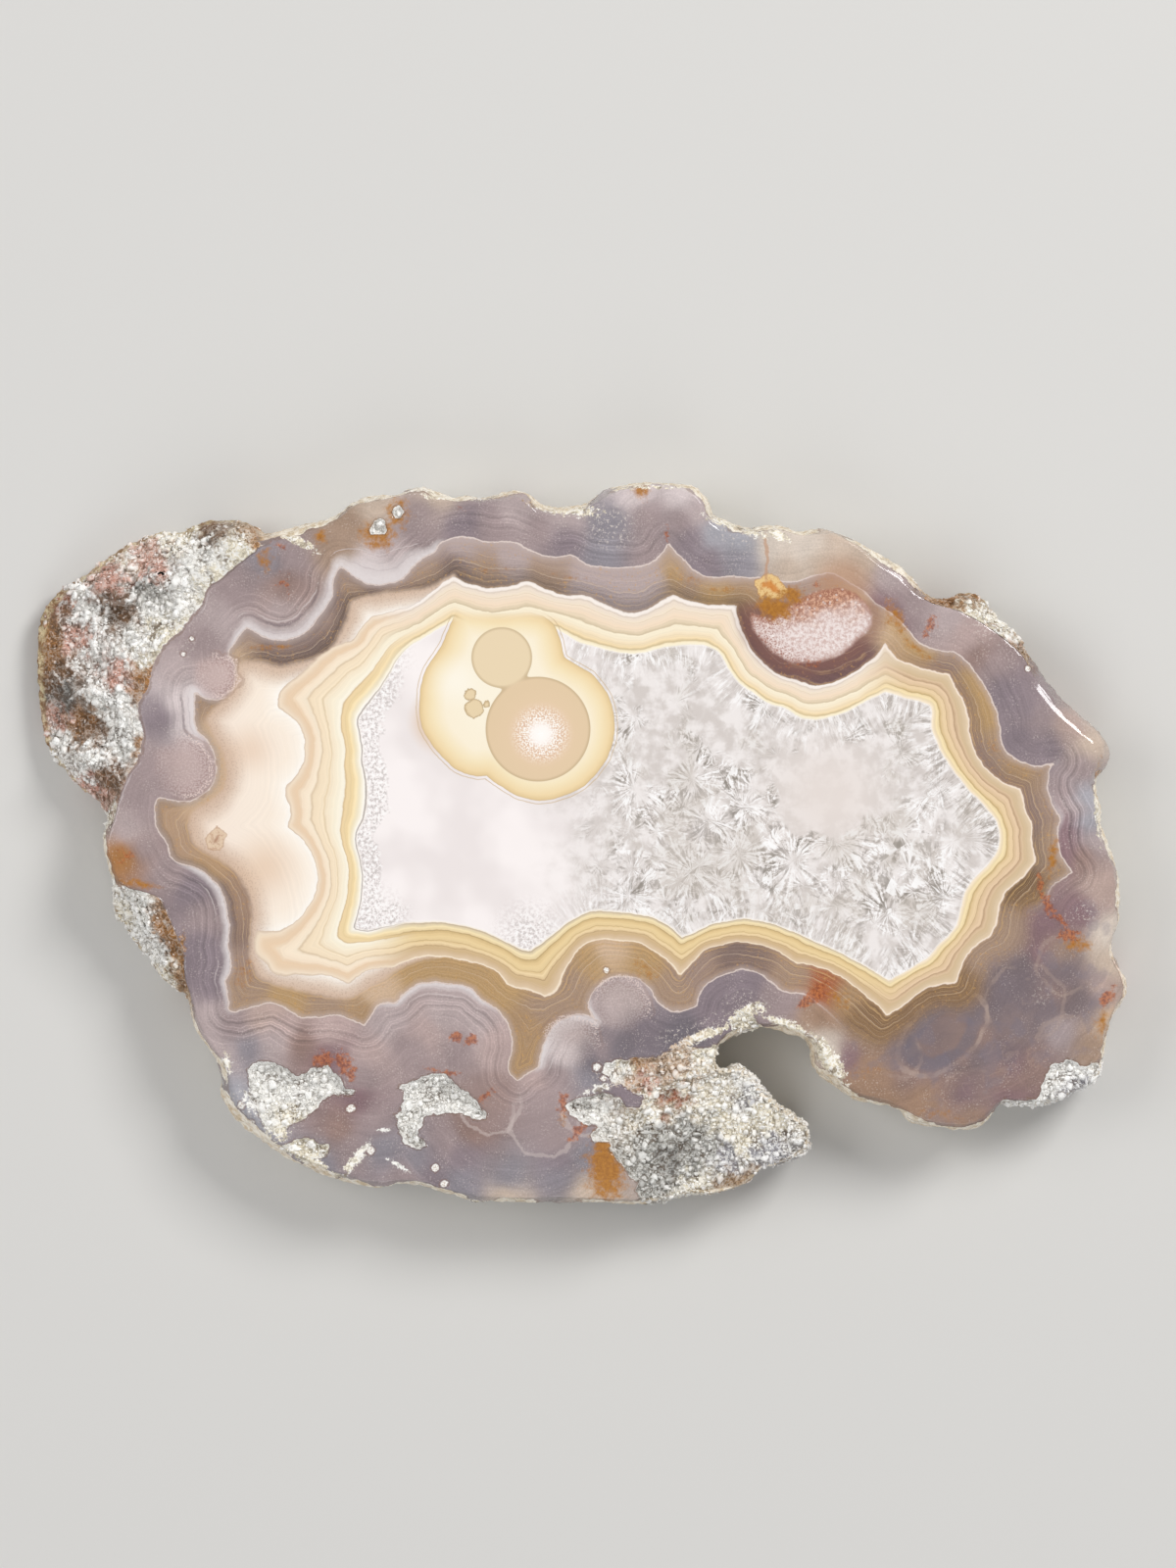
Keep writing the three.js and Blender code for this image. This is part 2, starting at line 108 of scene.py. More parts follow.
BEVEL = [(97.8, 63.3), (104.4, 68.4), (111.9, 77.6)]  # along the stretch of rim with a flat bevel
BEVEL_ENDS = (1, 2.5)  # how far from there it begins to narrow, and is gone
POLISH_ENDS = (1.8, 3)  # and the same for the polished rim under it
BEVEL_WIDTH = 0.55
BEVEL_FALL = 0.46  # how steeply it falls, in mm per mm
BEVEL_RINGS = 3  # steps across it
BEVEL_LEAST = 0.06  # the width below which there is none
BEVEL_EVENINGS = 5  # how many times the face's edge is evened out along it
# The grains on the crust: their spacing, smallest and largest radius, and how finely they're
# divided.
GRAIN_KINDS = {"agate_knobs": (0.56, 0.17, 0.42, 2), "agate_grains": (0.33, 0.11, 0.2, 1)}
GRAIN_TRIES = 3  # how many places are tried for each one that would fit
GRAIN_LUMP = 0.2  # how far their corners stray, as a share of the radius
GRAIN_UNEVENNESS = 0.35  # how far their three widths differ, as a share of the radius
GRAIN_WIDTHS = (0.55, 1.6)  # the least and the most of each
GRAIN_FLAT = 0.3  # how much they are flattened onto the crust
GRAIN_LIFT = 0.12  # how far their middle stands out of it, as a share of the radius
GRAIN_CLEAR = 0.03  # how far they stay below the face and inside the stone's box
GRAIN_LOWEST = (1, 2.5)  # the heights at which they begin to lie, and lie as close as above
GRAIN_HIGHEST = (0.4, 0.1)  # how far below the face they begin to thin out, and end
GRAINS_IN_HOLLOW = (0.15, 0.4)  # how far inside a hollow they begin to lie, and lie closest
GRAINS_ON_SKIN = (0.04, 0.12)  # and the same down the skin, as a share of its slope
SMALL_GRAINS = 1.8  # the higher, the more of them are small
LEAST_OWN = 0.05  # each bead has a number of its own, from this one to 1
DARK_GRAINS = 0.03  # how many lie on dark crust, as a share of those on white
CURL_STEP = 0.55  # between the beads of a curl, as a share of their radius
DRAW_SEED = 7
# The cells of a grid that lie round one, and that one.
NEIGHBOURS = [(x, y, z) for x in (-1, 0, 1) for y in (-1, 0, 1) for z in (-1, 0, 1)]
NOISE_APART = 40  # how far away the noise is read again for another value, in mm
BAND_SOFTNESS = 1.6  # how softly the tones of the bands blend into each other
RIND_SOFTNESS = 0.3  # and those of the crust
TONE_SHARPNESS = 2.2  # how fast a tone fades with the square of the distance
FOAM_BLUE = (0.2, 0.5)  # the blue in a crust's tone where foam begins, and where it is all foam
BAND_FRAY = (0.5, 0.3)  # how far the tones stray from their spots, and their cycles in a mm
CRUST_FRAY = (1.7, 0.9)
# Where crust begins and is whole: in mm inside a hollow, and down the skin and the thin rims, where
# 1 is the widest outline.
HOLLOW_CRUST = (-0.1, 0.25)
SKIN_CRUST = (0, 0.06)
RIM_CRUST = (0.2, 0.5)
RIM_RAGGEDNESS = (1.2, 0.25)  # how unevenly it begins there, and the cycles of that in a mm
RINGS_REACH = 5  # how far from the grey edge the nested lines run, in mm

STRETCHES = [
    {
        # The big lobe of natural skin at the left.
        "skin": [
            (10.8, 83.3), (10, 82.2), (8.8, 81.3), (7.5, 80.3), (6.3, 79), (5.2, 77.7),
            (4.3, 76.3), (3.8, 74.7), (3.6, 73), (3.4, 71), (3.2, 69), (3.2, 67), (3.3, 65.5),
            (3.4, 64), (3.7, 62.5), (4.6, 61.1), (6, 59.7), (8, 58.5), (10, 57), (12, 55.6),
            (14, 54.6), (16, 54), (17.8, 54.1), (19.2, 53.5), (20.5, 52.9), (22.5, 52.7),
            (24.5, 52.9), (25.8, 53.5), (26.8, 54.1),
        ],
        "face": [
            (11.6, 83.9), (12, 82.4), (12.6, 80.6), (13.3, 79), (14.3, 78), (14.8, 76.8),
            (15, 75), (14.7, 73.5), (14.4, 72.2), (15, 71.2), (15.7, 70), (15.8, 68.8),
            (16.4, 67.5), (17, 66.2), (18, 65.2), (19, 64.5), (19.4, 63.5), (20.5, 62.5),
            (21.2, 61.2), (21, 60.4), (22, 59.7), (23.2, 58.8), (24.5, 57.6), (25.8, 56.6),
            (26.6, 55.9), (27.4, 55.5),
        ],
        "ledge": True,
    },
    {
        # Along the top, over two small humps and the broad one.
        "skin": [
            (26.8, 54.1, 1.6), (28.3, 53.9, 1.8), (30, 53.6, 1.8), (32, 53, 1.3), (34, 52.4),
            (35.2, 51.5), (36.5, 50.7), (38.2, 50.3), (40, 50.3), (40.8, 49.9), (42, 49.6),
            (43.5, 49.6), (44.8, 50.1, 1), (45.8, 50.5, 1), (47.5, 50.3), (49.2, 50.5, 1.2),
            (50.5, 50.3, 1), (51.5, 50), (53, 49.9), (54.2, 50.3, 1), (55, 51, 1.6),
            (56, 51.5, 1.9), (57.5, 51.4, 1.8), (59, 51.4, 1.2), (60, 51.2, 0.9), (60.6, 50.6),
            (61.3, 49.9), (62.5, 49.5), (64.5, 49.1), (67, 49), (69.5, 49.2), (71.2, 49.7),
            (72.2, 50.5), (72.7, 51.5, 1.2), (72.8, 52.2, 1.4),
        ],
    },
    {
        # Down the long upper right edge to the bump.
        "skin": [
            (72.8, 52.2, 1.4), (73.8, 52.7, 1.9), (74.8, 53.2, 1.8), (76, 53.6, 1.4),
            (77.2, 53.6, 1.2), (78.2, 53.4, 1.2), (79.5, 53.3), (80.3, 53.5), (81.2, 54),
            (82.5, 54), (83.8, 53.8, 0.7), (85, 54, 0.7), (86.5, 54.5, 0.7), (88, 55.2),
            (89.5, 56.1, 1.2), (91, 57.1, 1.5), (92.5, 58, 1.5), (93.5, 58.9, 1.3),
            (94.3, 60, 1.2), (95.3, 60.7, 1),
        ],
    },
    {
        # The bump of skin that stands out behind the face.
        "skin": [
            (95.3, 60.7), (96.6, 60.9), (97.5, 60.7), (98.5, 60.2), (99.5, 60.2),
            (100.5, 60.7), (101.3, 61.8), (102.2, 63), (103.5, 64.1), (104.5, 65.3),
            (105.3, 66.5), (106, 67.6),
        ],
        "face": [
            (95, 61.6), (96, 61.9), (97.5, 62.2), (99, 63), (100.5, 63.8), (102, 64.9),
            (103.5, 66.1), (104.4, 66.9), (105, 67.7), (105.2, 68.5),
        ],
    },
    {
        # The right edge, with its two crusted dips.
        "skin": [
            (106, 67.6, 1.2), (106.5, 68.8, 1.4), (107.5, 69.7, 1.5), (108.5, 71, 1.6),
            (109.5, 72, 1.6), (110.5, 72.8, 1.6), (111.7, 73.9, 1.7), (112.7, 74.8, 1.8),
            (113.3, 75.7, 1.8), (113.6, 76.7, 1.6), (113.4, 77.8, 1.3), (112.8, 78.8, 1.3),
            (112.3, 79.3, 1.6), (112.2, 80.5, 1.6), (112.6, 81.7, 1.2), (112.8, 82.8, 1),
            (112.5, 83.8), (112.7, 84.6), (113.3, 85.7, 1.1), (113.7, 86.8, 1), (113.9, 87.7),
            (114.3, 88.4), (114.5, 89.5, 0.9), (114.6, 91, 1), (114.5, 92.5, 1), (114.4, 93.5),
            (114.3, 95), (113.8, 96), (113.7, 97), (114, 98.2), (114.8, 99.3), (115.3, 100.3),
            (115.2, 101.5),
        ],
    },
    {
        # Round the lower right lobe to the mouth of the notch.
        "skin": [
            (115.2, 101.5), (114.6, 102.8), (113.8, 103.8), (113.4, 105.2), (113.1, 106.5),
            (113, 108), (112.6, 109.2), (112, 110.2), (110.5, 111.3), (109, 112.1),
            (107.5, 112.8), (106, 113.1), (104.5, 112.9), (103.2, 112.7), (102.2, 112.8),
            (101.5, 113.6), (101, 114.5), (100, 115.2), (98.5, 115.5), (97, 115.4),
            (95.5, 115.2), (94, 115.1), (93, 114.7), (92.2, 114), (91.5, 113.2), (90.5, 112.9),
            (89, 112.7), (87.5, 112.5),
        ],
    },
    {
        # The notch, and the blunt tip of crust below it.
        "skin": [
            (87.5, 112.5), (86.2, 111.8, 1), (85, 111, 1.2), (84.5, 110.3, 1.5),
            (83.5, 109.8, 1.6), (83, 109, 1.6), (82.8, 107.7, 1.5), (82.5, 106.7, 1.3),
            (81.8, 106.1, 1.1), (80.5, 105.7, 1), (79.5, 105.2, 0.9), (78.5, 105),
            (77.2, 105.1), (75.8, 105.4), (74.5, 106.1), (73.3, 107), (72.7, 108),
            (72.9, 108.9), (73.5, 109.5), (74.3, 109.3), (75, 108.8), (75.8, 108.8),
            (76.5, 109.4), (77, 110.1), (77.8, 111), (78.7, 112.1), (79.8, 113), (81, 113.7),
            (82, 114.6), (82.6, 115.8), (82.6, 117), (82, 118.1), (80.8, 118.6),
        ],
    },
    {
        # The bottom edge, and up the lower left.
        "skin": [
            (80.8, 118.6), (79.5, 119), (77.8, 119.4), (76.8, 120.3), (75.7, 121.1),
            (74.5, 121.7), (73, 121.9), (71.2, 121.9), (70, 122.2), (68.5, 122.7),
            (66.8, 123.1), (65, 123.1), (62.5, 123), (60, 123), (57.5, 122.9), (55, 122.9),
            (52.5, 123), (50, 122.9), (48, 122.6), (46.2, 122.2), (44.8, 121.9), (43.5, 121.4),
            (42.5, 121), (41.5, 121.1), (40.5, 121), (39.5, 121.3), (37.8, 121.3), (36, 121.1),
            (34.5, 120.7, 1), (33, 120.2, 1.2), (31.5, 119.6, 1.3), (30, 118.9, 1.4),
            (28.5, 118.1, 1.5), (27, 117.1, 1.6), (25.7, 116.1, 1.8), (24.5, 115, 2),
            (23.5, 114, 2), (22.7, 112.8, 1.9), (22.2, 111.7, 1.7), (22.4, 110.5, 1.5),
            (22.2, 109.5, 1.3), (21.9, 108.3, 1), (21.2, 107.5), (20.3, 106.2), (19.7, 105),
            (19.2, 103.7), (19.1, 102.5), (18.8, 101.8),
        ],
    },
    {
        # The smaller patch of skin at the lower left.
        "skin": [
            (18.8, 101.8), (17.8, 101.3), (16.5, 100.4), (15.5, 99.3), (15, 98.2), (13.8, 97),
            (12.8, 95.8), (12.2, 94.5), (11.6, 93.8), (11.2, 92.8), (11.1, 91.5), (11.3, 90.5),
        ],
        "face": [
            (19.4, 101.2), (18.9, 100.2), (18.8, 99), (18.9, 97.5), (18.4, 96), (17.9, 95),
            (17.5, 93.8), (16.9, 92.6), (16.8, 91.7), (16.1, 91.3), (14.8, 91), (13.5, 90.6),
            (12.3, 90),
        ],
    },
    {
        # The short stretch between the two patches of skin.
        "skin": [
            (11.3, 90.5), (11.3, 89.3), (10.7, 88.3), (10.3, 87), (10.2, 85.8), (10.5, 84.5),
            (10.8, 83.3),
        ],
    },
]
# A line across the big lobe of skin, from left to right, with the higher skin above it.
LEDGE = [
    (2.5, 60.5), (6.5, 60.2), (9.8, 60.8), (13, 61.6), (15.5, 60.2), (18.5, 60.4), (30, 59.8),
]

# Rough hollows in the face: how deep each is, and its outline.
HOLLOWS = [
    # White crust at the lower left, and the small crusted spot below it.
    (1.1, [
        (25.2, 109), (26.2, 108.3), (28, 108.2), (29.7, 109.2), (30.3, 109.7), (32.2, 109),
        (33.5, 108.7), (34.5, 109.7), (35.5, 111), (36.2, 111.3), (35.5, 112), (34, 111.8),
        (33, 112.2), (32.2, 113.5), (31, 114), (29.8, 114.8), (28, 115.5), (26.8, 115),
        (26.2, 113.5), (25.5, 112),
    ]),
    (0.7, [
        (28.2, 117.2), (30, 116.2), (31.5, 116), (32.5, 116.6), (33.8, 116.8), (33.2, 118),
        (31.8, 118.5), (30.3, 118.3),
    ]),
    # The crescent hollow.
    (1.5, [
        (40.6, 111), (42, 110.2), (44, 109.4), (45.5, 109.7), (47, 110.8), (48.5, 112.2),
        (49.5, 113.5), (49.7, 114.3), (48.5, 114.3), (47, 113.7), (45, 113.7), (43.5, 114.2),
        (42.7, 115.2), (43.2, 117), (42.5, 117.5), (41.2, 116.5), (40.4, 115), (40.3, 113.8),
        (41.2, 112.6), (41, 111.8),
    ]),
    # The ledge beside the notch, and the broad crust that takes up the lower right tip.
    (0.6, [
        (61.8, 108.4), (64, 108), (67, 107.8), (69, 107), (71, 107), (73, 106.6), (74.6, 107.4),
        (74.8, 109.6), (72.5, 110.4), (70, 111), (67, 111.6), (65, 111.9), (63.5, 111),
        (62.5, 110.3), (61.4, 109.5),
    ]),
    (1.7, [
        (65, 110.6), (67, 110.2), (70, 109.9), (73, 109.2), (74.6, 107.8), (76.4, 107.4),
        (78.5, 109.6), (80.5, 111.8), (84, 113.8), (84.4, 118.8), (79, 121.4), (72, 124.2),
        (66, 124.6), (65.5, 122.8), (64.5, 121.5), (65, 120.5), (63.5, 119.5), (62.5, 118),
        (62, 116.8), (60.5, 116.5), (60, 115.8), (61, 115), (59.5, 114.7), (58.5, 114),
        (57.6, 113), (58.5, 112), (60, 111.7), (61.5, 111.5), (63, 112), (64, 112.8),
        (65.3, 112.9), (65.6, 112),
    ]),
    # Crust over the top of the notch, and the knobbly corner of the lower right lobe.
    (0.8, [(74.6, 104.4), (75.4, 103.3), (76.6, 103.5), (77.8, 104.7), (77.4, 106), (75, 106.4)]),
    (0.6, [
        (106.4, 109.8), (107.5, 108.6), (109, 108), (110.5, 108.8), (111.8, 108.3),
        (113.6, 108.4), (113.6, 110.4), (111, 113), (107, 114.4), (103, 114), (101.8, 113.4),
        (102.4, 112.2), (104, 112.3), (105.6, 112.2), (106.2, 111.2),
    ]),
    # The two ringed holes near the top.
    (1, [
        (37.7, 53.9), (38.1, 53.1), (38.9, 53), (39.6, 53.6), (39.5, 54.5), (38.7, 54.9),
        (37.9, 54.6),
    ]),
    (0.8, [(40, 51.6), (40.8, 51.5), (41.3, 52.2), (41, 53), (40.3, 53), (39.9, 52.3)]),
]

# Slow waves that run in different directions and don't repeat over the slice: turns of x, y and
# z for a millimetre, and a start, in radians. Together they give a smooth, lumpy relief.
LUMP_WAVES = [
    (0.83, 0.31, 0.41, 0.3), (-0.52, 0.94, 0.37, 1.9), (0.74, -0.91, 0.62, 4.1),
    (1.32, 0.88, -0.71, 2.2), (-1.05, 1.28, 0.9, 5.3),
]

# The contours of the bands, clockwise on the sheet. Each scallop starts at a cusp or a corner
# and runs smoothly to the next one.
#
# The edge of the crystalline quartz.
QUARTZ_EDGE = [
    [
        (36.1, 94.8), (36.5, 93.5), (36.9, 91.5), (37, 89.5), (36.8, 87.5), (36.3, 85.4),
        (37.1, 83.5), (37.5, 81.5), (37.4, 79.5), (37, 77.8), (37, 76), (36.6, 73.5),
        (37.2, 72.4), (39, 70), (40, 68.3), (41.3, 66.4), (44, 64.6),
    ],
    [(46.3, 63.2), (48.5, 64.2), (51, 64.4), (54, 63.8)],
    [
        (57, 64.3), (58.5, 65.2), (60, 65.8), (62, 66.3), (65, 66.7), (68, 66), (70, 65.8),
        (72.5, 66), (73.5, 66.7), (74.2, 68), (75.5, 69.7), (77, 70.8), (78.5, 71.8),
        (80, 72.2), (81.2, 73), (82.5, 73.4), (84, 73.3), (86, 72.7), (87.5, 72), (89, 71.2),
    ],
    [
        (90.3, 70.6), (92, 71.1), (94.5, 71.8), (95, 72.2), (95, 74), (95.5, 75.5),
        (96.5, 77.5), (97.8, 79.2), (99, 80.8), (100.3, 82), (101.3, 83.2), (101.8, 84.2),
        (102, 85.5), (101.8, 86.8), (100.8, 88.2), (99.5, 89.5), (98.5, 91), (98, 93),
        (97.5, 94.5), (96.2, 96), (94.5, 97.8), (92.5, 99),
    ],
    [
        (90.8, 100), (89, 99), (87, 97.8), (84.5, 96.6), (82, 95.5), (80, 94.7), (78, 94),
        (76, 93.7), (74, 94), (72, 94.5), (70.5, 95.2),
    ],
    [
        (69.6, 95.6), (68, 94.3), (66.5, 93.5), (65, 93.2), (63, 93), (61, 92.9), (59.5, 93.2),
        (58, 94), (56.5, 95.2), (55, 96.3),
    ],
    [
        (54.1, 97), (53, 96.8), (52, 96.2), (50.5, 95.5), (49, 94.8), (47, 94.3), (44, 94),
        (41.5, 94.1), (39.5, 94.5), (37.5, 94.9),
    ],
]
# The white line round the cream bands.
WHITE_LINE = [
    [
        (26.2, 95), (28, 94.9), (29.5, 94.5), (31, 93.2), (32.1, 91.2), (32.4, 89.3),
        (32, 87.5), (30.8, 85.7),
    ],
    [(29.3, 84.4), (29.6, 83), (29.2, 81.2)],
    [(29.1, 80.2), (30.5, 78.7), (31.1, 76.5), (30.8, 74.5), (29.8, 73.2)],
    [(28.4, 72.2), (28.6, 70.6), (31, 68.4), (34, 66), (36, 65.2), (37, 64)],
    [(38, 62.8), (40, 62.4), (42, 61.8), (43.5, 60.8), (45, 59.7)],
    [
        (46.3, 58.8), (48, 59.6), (50, 60), (52, 59.8), (53.7, 59.3), (55.5, 60), (57.5, 60.7),
        (60, 60.8), (62.5, 62), (64.5, 62.5), (66.5, 62), (68, 61),
    ],
    [(68.7, 60.5), (70, 61.2), (72.5, 61.7)],
    [
        (75.2, 61.7), (75.4, 63), (75.8, 64.5), (76.5, 65.8), (77.5, 67.2), (79, 68.5),
        (81, 69.3), (83, 69.9), (85, 69.6), (87, 68.6), (89, 67.2),
    ],
    [(90.3, 65.7), (91.5, 67), (93.5, 68)],
    [
        (96.8, 68.7), (97.5, 70), (98.3, 71.5), (98.8, 73), (99, 74.8), (99.5, 76.5),
        (100.3, 78), (102, 79.5),
    ],
    [(104.1, 80.5), (104.5, 82), (105, 83.5), (105.3, 84.2), (105.3, 86)],
    [(105.7, 88), (104.5, 89.5), (103, 90.7), (102.2, 92), (101.8, 94)],
    [(101.2, 95.5), (100, 96.2), (98.5, 98)],
    [(97.5, 100.3), (96, 100.5), (94, 101.2), (92.5, 102.5)],
    [
        (90.5, 103.7), (89, 102.2), (87, 100.5), (85, 99.3), (82.5, 98.4), (81.2, 98.2),
        (80, 97.4), (78, 96.6), (75.5, 96.2), (73.5, 96.5), (72, 97), (71, 98),
    ],
    [
        (69.4, 99.7), (68.5, 98.5), (67.2, 97.3), (65.5, 96.4), (63.5, 96), (61.5, 95.9),
        (60, 96.2), (59, 97.2), (58, 98.5), (57.3, 100), (56.8, 101),
    ],
    [
        (55.5, 101.8), (54, 101), (52, 100.6), (51, 99.5), (50, 98.8), (48, 98.2), (45.5, 97.7),
        (43, 97.7), (41, 98.3),
    ],
    [(40, 98.8), (38, 98.8), (36.5, 99.7)],
    [
        (35.6, 100.4), (34, 99.7), (31.5, 99.5), (28, 99.4), (27.2, 98.4), (26.2, 97.3),
        (25.9, 96),
    ],
]
# The peach zone outside that line, closed across the middle of the stone.
PEACH_ZONE = [
    [
        (46.3, 97), (43, 97.9), (41.5, 98.4), (40, 99.2), (38, 100.5), (35.5, 101.8),
        (30, 100.8), (26.5, 99.7), (25.7, 98), (25.6, 96), (25.7, 93), (25.3, 91), (24.5, 89.5),
        (23.5, 88.4), (22, 87.4), (19.9, 86.1), (19.4, 84.5), (19.8, 82.8), (21.4, 81.9),
        (22.9, 80), (23.1, 77.6), (22, 75.3), (21.2, 73.4), (22.6, 71.7), (24, 69.8),
        (24.3, 67.8), (26.2, 67.6), (28, 68), (31, 67.6), (33.5, 66.5), (34.5, 65),
        (35.5, 63), (36, 61.4), (38.5, 60.7), (41, 60.3), (43, 60.2), (44.5, 59.7),
    ],
    [(46.3, 58.7)],
]
# The pale line where the grey outer agate ends and the brown bands begin.
GREY_EDGE = [
    [
        (25.2, 64), (24.3, 65), (23.2, 66.7), (23.8, 67.7), (24, 69.2), (23.4, 70.8),
        (22.2, 71.3), (20.8, 71), (19.8, 70.5), (19.8, 72.5), (20, 74.6), (21.2, 75.8),
        (21.9, 77.6), (21.8, 79.6), (20.8, 80.9), (19, 81.7), (17.3, 81.5), (16, 81.4),
        (15.7, 83.2), (16, 84.8), (16.8, 86), (17.4, 87.5), (18.1, 88.1), (19.5, 88.5),
        (21, 89.3), (22.2, 90.5), (23, 92.2), (23.3, 94.5), (23.2, 96.6), (23.4, 98.5),
    ],
    [(22.9, 100.2), (23.3, 101.9), (23.4, 103.2)],
    [
        (24.4, 103.3), (26.2, 102.7), (28, 102.5), (29.5, 103.2), (31, 104), (32.5, 103.8),
        (34.5, 103.8), (36, 104.2),
    ],
    [(37.2, 104.7), (38, 103.6), (38.8, 102.5), (40.5, 102.3)],
    [
        (41, 101.6), (42.5, 100.6), (44, 100.3), (46, 100.5), (48, 101), (49.2, 102),
        (50.5, 103), (51.5, 104), (52.1, 105.5), (52.1, 107.2), (51.8, 108.5), (51.9, 109.5),
    ],
    [
        (52.8, 110.3), (53.8, 109.7), (55, 109), (55.1, 107.8), (55.6, 106.5), (56.2, 105.2),
        (57.2, 104.2), (58.8, 103.7), (60.3, 103.8),
    ],
    [
        (61, 104.2), (60.2, 103), (60.3, 101.8), (61, 100.8), (62.2, 99.9), (63.7, 99.7),
        (65.2, 100), (66.2, 101), (67, 102.2), (68.2, 103.1), (69.5, 103.3),
    ],
    [
        (71.1, 102.8), (71.4, 101.5), (72.2, 100.5), (73.8, 99.5), (75.7, 99), (77.5, 99.5),
        (79, 100.5), (80, 101.2), (82, 101.5), (84, 103), (87, 105.5), (90, 106.8),
        (92.5, 105.2), (95.5, 103), (98.5, 103), (100, 101.8), (100.5, 100), (101, 98.5),
        (103, 97.5), (104.5, 96), (105, 93), (106.2, 92.5), (107.5, 90.5),
    ],
    [(109.5, 89), (108.3, 87), (108, 85)],
    [(108.3, 83.5), (107.2, 81.5), (106.9, 80), (107.2, 78.5)],
    [
        (107.8, 77.8), (106, 78.1), (104.5, 77.8), (103, 76.8), (102.2, 75.5), (102, 73.5),
        (101.5, 72), (100.8, 70.5), (100, 69.2), (98.8, 67.5), (97.5, 66.5), (95.5, 66.2),
        (93.8, 65.5), (92.5, 64), (91.2, 62.7), (89.5, 61.5), (87.8, 60), (86.2, 59),
        (84.5, 58.4), (82, 59), (80, 59.3), (77, 58.8), (74.5, 58.8), (72, 58.7),
        (70.5, 57.8), (69.2, 56.5),
    ],
    [(68.2, 55.3), (67, 57), (65.5, 57.7), (63, 57.8), (60.5, 57.7), (59, 57)],
    [(58.2, 56.6), (56.5, 56.8), (54.5, 56.2)],
    [
        (52.2, 55.2), (50, 55.2), (48.5, 54.9), (47.5, 54.7), (46, 54.8), (45, 55.2),
        (44.3, 56.2), (43, 57), (42.2, 57.6), (41.2, 58.8), (40, 59.4), (38.5, 59.6),
        (36.8, 59.1), (35.5, 58.3),
    ],
    [
        (34.7, 57.8), (34, 59), (33.8, 60.5), (33, 62.2), (31.8, 63.8), (30, 65), (28.5, 65.2),
        (26.8, 64.8),
    ],
]
# The pale halo round the eyes, and the pocket of fine pink quartz at the upper right.
HALO = [
    [
        (45.9, 63.8), (45, 66), (43.4, 68.4), (42.8, 71.2), (43.1, 74.3), (44.8, 76.9),
        (46.7, 78.6), (48.6, 79.2),
    ],
    [
        (49.6, 79.1), (51, 80.2), (53, 81.3), (55.3, 81.7), (58.2, 81), (60.6, 79.3),
        (62.2, 76.8), (62.7, 74), (62.2, 71.3), (60.6, 69), (58.3, 67.5),
    ],
    [(57.6, 67.1), (57.2, 65.6), (56.6, 63.9)],
    [(55.5, 62.9), (53.5, 62.4), (51, 62.6), (48.5, 62.3), (46.9, 62)],
]
PINK_POCKET = [
    [
        (76.5, 62.5), (76.8, 64), (77.8, 65.5), (79, 66.7), (80.5, 67.5), (82.5, 67.7),
        (84, 67.4), (86, 66.7), (87.5, 65.5), (88.8, 64), (89, 62.5), (88, 61.2), (86.8, 60.2),
        (85, 60), (83, 60.5), (81.5, 61.2), (80, 62.2), (79, 63), (77.8, 62.8),
    ],
]
# The pale angular crystal beside it, and the small five-sided one at the left.
PALE_CRYSTALS = [
    [(77, 59.3), (78.5, 58.5), (79.2, 58.8), (80.5, 60.3), (79.5, 61.1), (78.5, 61.1),
     (78, 60.5), (77.9, 61.4), (77.3, 60.4)],
    [(21.1, 85.5), (22.1, 84.3), (23.1, 85.2), (22.5, 86.7), (21.2, 86.6)],
]
# Round forms, each with its centre and radius: the pale lobes at the bottom, and the faint ones
# in the lower right lobe.
LOW_ARCS = [(55.6, 114.6, 3.6), (50, 112.6, 3.2), (60, 113.4, 2.6)]
GHOST_ARCS = [
    (104.6, 102.4, 4), (108.5, 106.6, 2.8), (99.4, 112.2, 3.2), (91.6, 107.6, 2.4),
    (108.8, 98.4, 3),
]
# The two round eyes, and the three small blobs beside them.
EYES = [
    (51.2, 67.1, 3.1), (54.9, 74.4, 5.35), (48, 70.9, 0.62), (48.4, 72.3, 0.98),
    (49.6, 71.9, 0.4),
]
# The grainy round lobes, also with their colour and strength and the way their clear side faces.
ROUND_LOBES = [
    (22, 69, 2.3, (200, 174, 168), 0.8, (1, 0)), (18.6, 78.3, 3.1, (189, 165, 161), 0.75, (1, 0.1)),
    (63.3, 102.5, 2.9, (178, 160, 154), 0.6, (0.3, -0.95)),
    (58.3, 106.2, 2.7, (182, 165, 159), 0.55, (0.1, -1)),
]
# The blurred ellipse in the lower right lobe: centre, half its length and width, turn in degrees.
ELLIPSE = (96.2, 105.5, 4.4, 2.7, 42)
# Where the quartz is more or less crystalline: centre, reach, softness and strength.
CRYSTAL_AREAS = [
    (72, 85, 12, 1, 0.34), (90.5, 88.5, 10, 1, 0.5), (64, 91, 7, 1, 0.25), (78, 91, 7, 1, 0.2),
    (84.5, 80.5, 7, 0.8, -0.6), (72, 71, 8, 0.9, -0.16),
]

